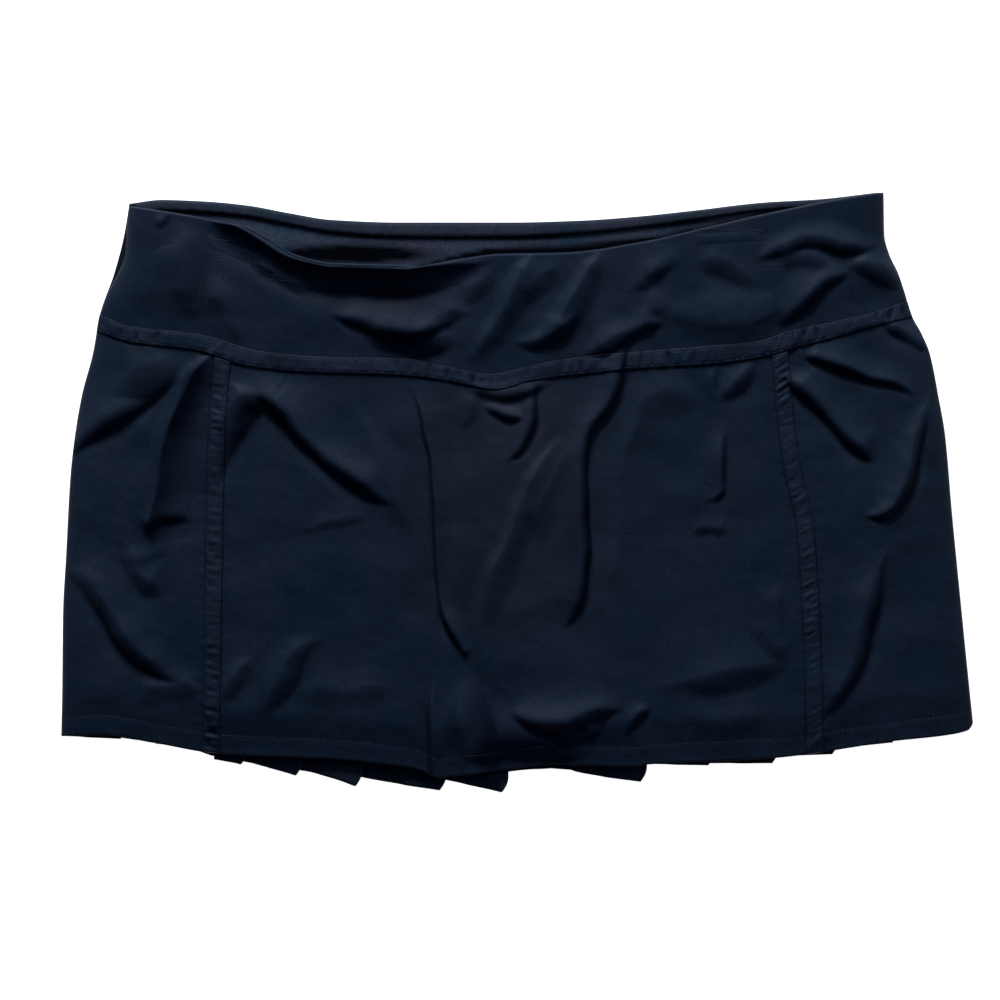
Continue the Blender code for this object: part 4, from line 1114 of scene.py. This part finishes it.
def pleat_columns():
    """Columns of the pleated back: (x at the hem, level, height of the hem, lean, shade)."""
    radius = LAYER_PITCH / 2
    start = float(left_side(BACK_HEM_LEFT))
    columns = [(start, 0.0, BACK_HEM_LEFT, 0.0, 0.0)]
    for pleat, after in zip(PLEATS, PLEATS[1:] + [None]):
        tuck = pleat.fold - PLEAT_DEPTH
        climb = tuck - PLEAT_CLEAR - PLEAT_RAMP
        middle = pleat.fold - PLEAT_DEPTH / 2
        next_start = after.hem_start if after else pleat.hem_tip + PLEAT_SHORT
        hidden = next_start + PLEAT_SHORT

        def along(x, level):
            """One column of the face; its hem drops faster and its corner leans more towards the fold."""
            share = (x - start) / (pleat.fold - start)
            hem = pleat.hem_start + (pleat.hem_tip - pleat.hem_start) * share ** pleat.bow
            return x, level, hem, share ** 2, TUCK_SHADE * float(bump((x - start) / TUCK_SHADE_REACH))

        for share in (0.2, 0.4, 0.7, 1.0):
            columns.append(along(start + (climb - start) * share, 0.0))
        for share in (0.25, 0.5, 0.75, 1.0):
            columns.append(along(climb + PLEAT_RAMP * share, FACE_LEVEL * float(smooth(share))))
        for share in (0.33, 0.66):
            x = tuck - PLEAT_CLEAR + (PLEAT_DEPTH + PLEAT_CLEAR - radius) * share
            columns.append(along(x, FACE_LEVEL))
        for angle in turns(FOLD_STEPS):
            x = pleat.fold - radius + radius * math.sin(angle)
            columns.append((x, FACE_LEVEL - (1 - math.cos(angle)) / 2, pleat.hem_tip, 1.0, 0.0))
        columns.append((middle, 1.0, (pleat.hem_tip + hidden) / 2, 0.5, 0.5))
        for angle in turns(FOLD_STEPS):
            x = tuck + radius - radius * math.sin(angle)
            columns.append((x, (1 + math.cos(angle)) / 2, hidden, 0.0, TUCK_SHADE))
        columns.append((middle, 0.0, next_start + PLEAT_SHORT / 2, 0.0, TUCK_SHADE))
        columns.append((pleat.fold, 0.0, next_start, 0.0, TUCK_SHADE))
        start = pleat.fold
    columns.append((float(right_side(BACK_HEM_RIGHT)), 0.0, BACK_HEM_RIGHT, 0.0, 0.0))
    return columns


def pleat_points(down):
    """Points and shading of the pleated back at the places from 0, its seam, to 1, its hem."""
    hem_left = float(left_side(BACK_HEM_LEFT))
    hem_right = float(right_side(BACK_HEM_RIGHT))
    at, level, hem, lean, shade = np.array(pleat_columns()).T
    share = (at - hem_left) / (hem_right - hem_left)
    x, y = grid(left_side, right_side, shifted(back_seam, -HALF_GAP), lambda x: hem, share, down)
    from_hem = np.clip((y - hem) / LEAN_REACH, 0, 1)
    x = x + lean * (PLEAT_SWING + PLEAT_LEAN * (1 - (1 - from_hem) ** 2))
    z = CLOTH / 2 + level * LAYER_PITCH + 0 * x
    return x, y, z, shade + 0 * x


def make_pleated_back(under):
    """The back skirt in one strip of cloth, pleated."""
    x, y, z, shade = pleat_points(np.concatenate([np.linspace(0, 0.94, 44), np.linspace(0.945, 1, 10)]))
    z = z + np.where(z > 2, 1, 0) * ripple(x, y, PLEAT_RIPPLE)
    # Painted shadow on the pleats under the front's hem
    shade = np.maximum(shade, smooth((y - front_hem(x) + HEM_SHADOW) / HEM_SHADOW))
    return cloth_piece("back_pleated_panel", (x, y, z), CLOTH, under, shade, side=0)


def make_shorts(name, outer, side, liner):
    """Half of the shorts: a layer at the front, round the hip, and a layer behind."""
    back_level, front_level = SHORTS_MIDDLES
    radius = (front_level - back_level) / 2
    flat = [k / SHORTS_COLUMNS for k in range(SHORTS_COLUMNS)]
    across = [(share, 0.0, front_level) for share in flat]
    for angle in turns(SHORTS_TURN):
        shift = side * radius * (math.sin(angle) - 1)
        across.append((1.0, shift, back_level + radius * (1 + math.cos(angle))))
    across += [(share, 0.0, back_level) for share in reversed(flat)]
    share, shift, level = np.array(across).T
    behind = (front_level - level) / (front_level - back_level)

    def inner(y):
        """The seam down the middle: x for each y."""
        return SHORTS_CENTRE + side * inseam(y) + shift

    def top(x):
        """The waist seam of each layer: y for each x."""
        return front_seam(x) + (back_seam(x) - front_seam(x)) * behind - SHORTS_DROP

    x, y = grid(inner, lambda y: outer(y) + shift, top, lambda x: SHORTS_HEM, share, np.linspace(0, 1, 50))
    z = level + ripple(x, y, SHORTS_RIPPLE)
    return cloth_piece(name, (x, y, z), SHORTS_CLOTH, liner, side=0)


# Sewing

# Kinds of stitches. long: of one stitch. pitch: from one to the next. thick: of the thread.
Stitch = namedtuple("Stitch", "long pitch thick")
TAPE_STITCH = Stitch(1.35, 2.0, 0.3)
HEM_STITCH = Stitch(1.7, 2.6, 0.22)
POCKET_STITCH = Stitch(1.2, 1.6, 0.26)
SHORTS_STITCH = Stitch(1.9, 2.7, 0.3)
SIDES = 5
PROFILE = ((-0.5, 0.35), (-0.25, 0.9), (0.25, 0.9), (0.5, 0.35))    # along a stitch, and its thickness there
LINE_STEP = 0.8         # spacing of the points that a row is read at
TAPE_PROUD = SEAM_GAP + TRIM + 0.08
WAIST_INSET = 1.25      # how far a tape's row lies in from its edge
PRINCESS_INSET = 1.15
CASING_INSETS = (1.2, 0.8)
CASING_PROUDS = (0.3, 0.25)
WAIST_ROWS = [(-236, -179), (-176, 155), (158, 220)]        # first and last x
PRINCESS_ROWS = [(left_princess, 71, -146), (right_princess, 77, -147)]
HEM_ROWS = [(-257, -179), (-167, 163), (175, 257)]
SHORTS_ROWS = (17.0, 20.0)                                  # height above their hem
SHORTEST_ROW = 12.0     # of the rows on the pleats


def resampled(points, pitch):
    """The same line with points a pitch apart."""
    run = np.concatenate([[0], np.cumsum(np.linalg.norm(np.diff(points, axis=0), axis=1))])
    at = np.arange(0, run[-1], pitch)
    return np.stack([np.interp(at, run, points[:, k]) for k in range(3)], axis=1)


def add_stitch(centre, way, stitch, verts, faces):
    """Adds one stitch to a mesh: a short bead of thread lying along its way."""
    aside = np.cross(way, (0, 0, 1))
    aside /= np.linalg.norm(aside)
    up = np.cross(aside, way)
    first = len(verts)
    last = first + (len(PROFILE) - 1) * SIDES
    for along, wide in PROFILE:
        for k in range(SIDES):
            angle = 2 * math.pi * k / SIDES
            spread = aside * math.cos(angle) + up * math.sin(angle)
            verts.append(centre + way * along * stitch.long + spread * wide * stitch.thick / 2)
    for ring in range(first, last, SIDES):
        for k in range(SIDES):
            a = ring + k
            b = ring + (k + 1) % SIDES
            faces.append((a, a + SIDES, b + SIDES, b))
    faces.append(tuple(first + k for k in range(SIDES)))
    faces.append(tuple(last + k for k in reversed(range(SIDES))))


def make_stitches(name, lines, stitch, material):
    """Rows of stitches along the lines, as one mesh."""
    verts = []
    faces = []
    for line in lines:
        centres = resampled(line, stitch.pitch)
        if len(centres) < 2:
            continue
        ways = np.gradient(centres, axis=0)
        ways /= np.linalg.norm(ways, axis=1, keepdims=True)
        for centre, way in zip(centres, ways):
            add_stitch(centre, way, stitch, verts, faces)
    mesh = bpy.data.meshes.new(name)
    mesh.from_pydata((np.array(verts) * MM).tolist(), [], faces)
    mesh.update()
    mesh.shade_smooth()
    piece = placed(name, mesh, material)
    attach(piece, "root")
    return piece


def on_front(x, y, proud, fine=True):
    """A line that lies on the front, standing proud of it."""
    z, _ = front_surface(x, y, fine)
    return np.stack([x, y, z + proud], axis=1)


def tape_stitches(thread):
    """Two rows along every tape."""
    rows = []
    for first, last in WAIST_ROWS:
        x = np.arange(first, last, LINE_STEP)
        rows.append(on_front(x, tape_top(x) - WAIST_INSET, TAPE_PROUD, False))
        rows.append(on_front(x, tape_bottom(x) + WAIST_INSET, TAPE_PROUD, False))
    waist = make_stitches("waist_tape_stitches", rows, TAPE_STITCH, thread)
    rows = []
    for princess, top, bottom in PRINCESS_ROWS:
        y = np.arange(top, bottom, -LINE_STEP)
        for side in (-1, 1):
            x = princess(y) + side * (TAPE_HALF - PRINCESS_INSET)
            rows.append(on_front(x, y, TAPE_PROUD, False))
    down = make_stitches("princess_tape_stitches", rows, TAPE_STITCH, thread)
    return waist, down


def hem_stitches(thread):
    """The hem's row, which sinks into the cloth and comes up again."""
    rows = []
    for first, last in HEM_ROWS:
        x = np.arange(first, last, LINE_STEP)
        sunk = 0.03 + 0.09 * np.sin(x / 9 + 1.3 * np.sin(x / 23))
        rows.append(on_front(x, front_hem(x) + HEM_DEPTH - GROOVE_BELOW, sunk))
    return make_stitches("front_hem_stitches", rows, HEM_STITCH, thread)


# Stitched lines at the pockets: both ends, and how far the thread stands proud
PocketLine = namedtuple("PocketLine", "x0 y0 x1 y1 proud")
POCKET_LINES = [
    PocketLine(-175.0, 143.8, -156.5, 142.0, 0.3),
    PocketLine(-173.5, 139.2, -165.0, 138.4, 0.12),
    PocketLine(-173.0, 135.6, -166.0, 135.0, 0.1),
    PocketLine(-171.5, 131.6, -166.5, 131.2, 0.1),
    PocketLine(-142.0, 120.8, -124.5, 119.2, 0.16),
    PocketLine(100.8, 149.4, 139.5, 148.4, 0.3),
    PocketLine(103.0, 145.6, 124.0, 144.6, 0.12),
    PocketLine(130.0, 144.2, 141.0, 144.0, 0.12),
    PocketLine(100.8, 149.0, 100.8, 134.0, 0.3),
    PocketLine(104.0, 147.0, 104.0, 137.0, 0.12),
    PocketLine(136.8, 147.5, 136.4, 128.5, 0.1),
    PocketLine(138.0, 140.4, 150.0, 140.8, 0.14),
    PocketLine(136.5, 128.5, 152.0, 129.0, 0.12),
]
POCKET_POINTS = 40


def pocket_stitches(thread):
    """Bartacks and the stitching round the two pockets."""
    rows = []
    for line in POCKET_LINES:
        x = np.linspace(line.x0, line.x1, POCKET_POINTS)
        y = np.linspace(line.y0, line.y1, POCKET_POINTS)
        rows.append(on_front(x, y, line.proud))
    return make_stitches("pocket_stitches", rows, POCKET_STITCH, thread)


def pleat_hem_lines():
    """The line of the pleats' hem, cut where it turns back under a fold."""
    x, y, z, _ = pleat_points([0.955, 0.965])
    line = np.stack([x[0], y[0], z[0] + CLOTH / 2 + 0.12], axis=1)
    rows = []
    start = 0
    for k in range(1, len(line)):
        if line[k, 0] < line[k - 1, 0]:
            if k - start > 3:
                rows.append(line[start:k])
            start = k
    return [row for row in rows if row[-1, 0] - row[0, 0] > SHORTEST_ROW]


def back_stitches(thread):
    """The casing's two rows, and the pleats' hem."""
    x = np.arange(-214, 203, LINE_STEP)
    upper, lower = CASING_INSETS
    lines = (back_top(x) - upper, casing_line(x) + lower)
    rows = []
    for y, proud in zip(lines, CASING_PROUDS):
        rows.append(np.stack([x, y, np.full(x.shape, CASING_BASE + proud)], axis=1))
    casing = make_stitches("back_casing_stitches", rows, TAPE_STITCH, thread)
    hems = make_stitches("pleat_hem_stitches", pleat_hem_lines(), HEM_STITCH, thread)
    return casing, hems


def shorts_stitches(thread):
    """Two rows above the hem of each leg."""
    rows = []
    for side, outer in ((-1, shorts_left_outer), (1, shorts_right_outer)):
        for up in SHORTS_ROWS:
            level = SHORTS_HEM + up
            inner = SHORTS_CENTRE + side * float(inseam(level))
            x = np.linspace(inner + side * 2, float(outer(level)) - side * 2, 200)
            y = np.full(x.shape, level)
            z = SHORTS_MIDDLES[1] + SHORTS_CLOTH / 2 + 0.1 + ripple(x, y, SHORTS_RIPPLE)
            rows.append(np.stack([x, y, z], axis=1))
    return make_stitches("shorts_hem_stitches", rows, SHORTS_STITCH, thread)


# Scene

Lamp = namedtuple("Lamp", "name place size watts")      # place and size in metres
LAMPS = [
    Lamp("window", (-0.5, 2.5, 1.04), 0.95, 134.0),
    Lamp("ceiling", (1.3, 0.9, 1.2), 1.2, 8.0),
]
ROOM_COLOUR = (0.012, 0.034, 0.085, 1.0)
FLOOR_DROP = 0.3        # how far the floor lies under the garment, so that their faces don't flicker
FLOOR_SIZE = 3.0        # in metres
PAPER_DARK = 0.6
PAPER_LIGHT = 0.63


def make_floor():
    """White paper that glows, so that it comes out pure white behind the dark cloth."""
    material, tree, shader, place = new_material("white_paper")
    hue = mixed(tree, "MIX", noise(tree, place, 25, 2.0), grey(PAPER_DARK), grey(PAPER_LIGHT))
    tree.links.new(hue, shader.inputs["Base Color"])
    shader.inputs["Roughness"].default_value = 0.9
    shader.inputs["Emission Color"].default_value = grey(1.0)
    shader.inputs["Emission Strength"].default_value = 1.0
    floor = placed("floor", flat_grid("floor", 1, 1, FLOOR_SIZE), material)
    floor.location = (0, 0, -FLOOR_DROP * MM)


def make_lights():
    """Two soft lights that face the garment, and the room's own light."""
    for lamp in LAMPS:
        light = bpy.data.lights.new(lamp.name, "AREA")
        light.energy = lamp.watts
        light.size = lamp.size
        stand = bpy.data.objects.new(lamp.name, light)
        stand.location = lamp.place
        stand.rotation_euler = (-Vector(lamp.place)).to_track_quat("-Z", "Y").to_euler()
        bpy.context.scene.collection.objects.link(stand)
    world = bpy.data.worlds.new("room")
    world.use_nodes = True
    world.node_tree.nodes["Background"].inputs["Color"].default_value = ROOM_COLOUR
    bpy.context.scene.world = world
    bpy.context.scene.view_settings.view_transform = "Standard"


def make_camera():
    """Straight down on the garment, with its waist at the top of the picture."""
    lens = bpy.data.cameras.new("camera")
    lens.lens = LENS
    lens.sensor_width = SENSOR
    camera = bpy.data.objects.new("camera", lens)
    distance = FRAME_WIDTH * LENS / SENSOR
    camera.location = (VIEW_X * MM, VIEW_Y * MM, (VIEW_Z + distance) * MM)
    bpy.context.scene.collection.objects.link(camera)
    bpy.context.scene.camera = camera


def main():
    """Makes the pieces and their sewing, and sets the scene."""
    cloth, under, lit_casing_cloth, inner, tape, liner = [cloth_material(look) for look in LOOKS]
    thread = thread_material("navy_thread", THREAD_COLOUR)

    left, centre, right = make_front(cloth)
    band = make_front_band(cloth)
    facing = make_facing(cloth)
    waist_tapes = make_waist_tapes(tape)
    princess_tapes = make_princess_tapes(tape)
    welts = make_welts(cloth)
    back_band, casing = make_back_band(inner, lit_casing_cloth)
    pleats = make_pleated_back(under)
    shorts_left = make_shorts("shorts_left", shorts_left_outer, -1, liner)
    shorts_right = make_shorts("shorts_right", shorts_right_outer, 1, liner)

    waist_rows, princess_rows = tape_stitches(thread)
    hem_rows = hem_stitches(thread)
    pocket_rows = pocket_stitches(thread)
    casing_rows, pleat_rows = back_stitches(thread)
    shorts_rows = shorts_stitches(thread)

    make_floor()
    make_lights()
    make_camera()


main()
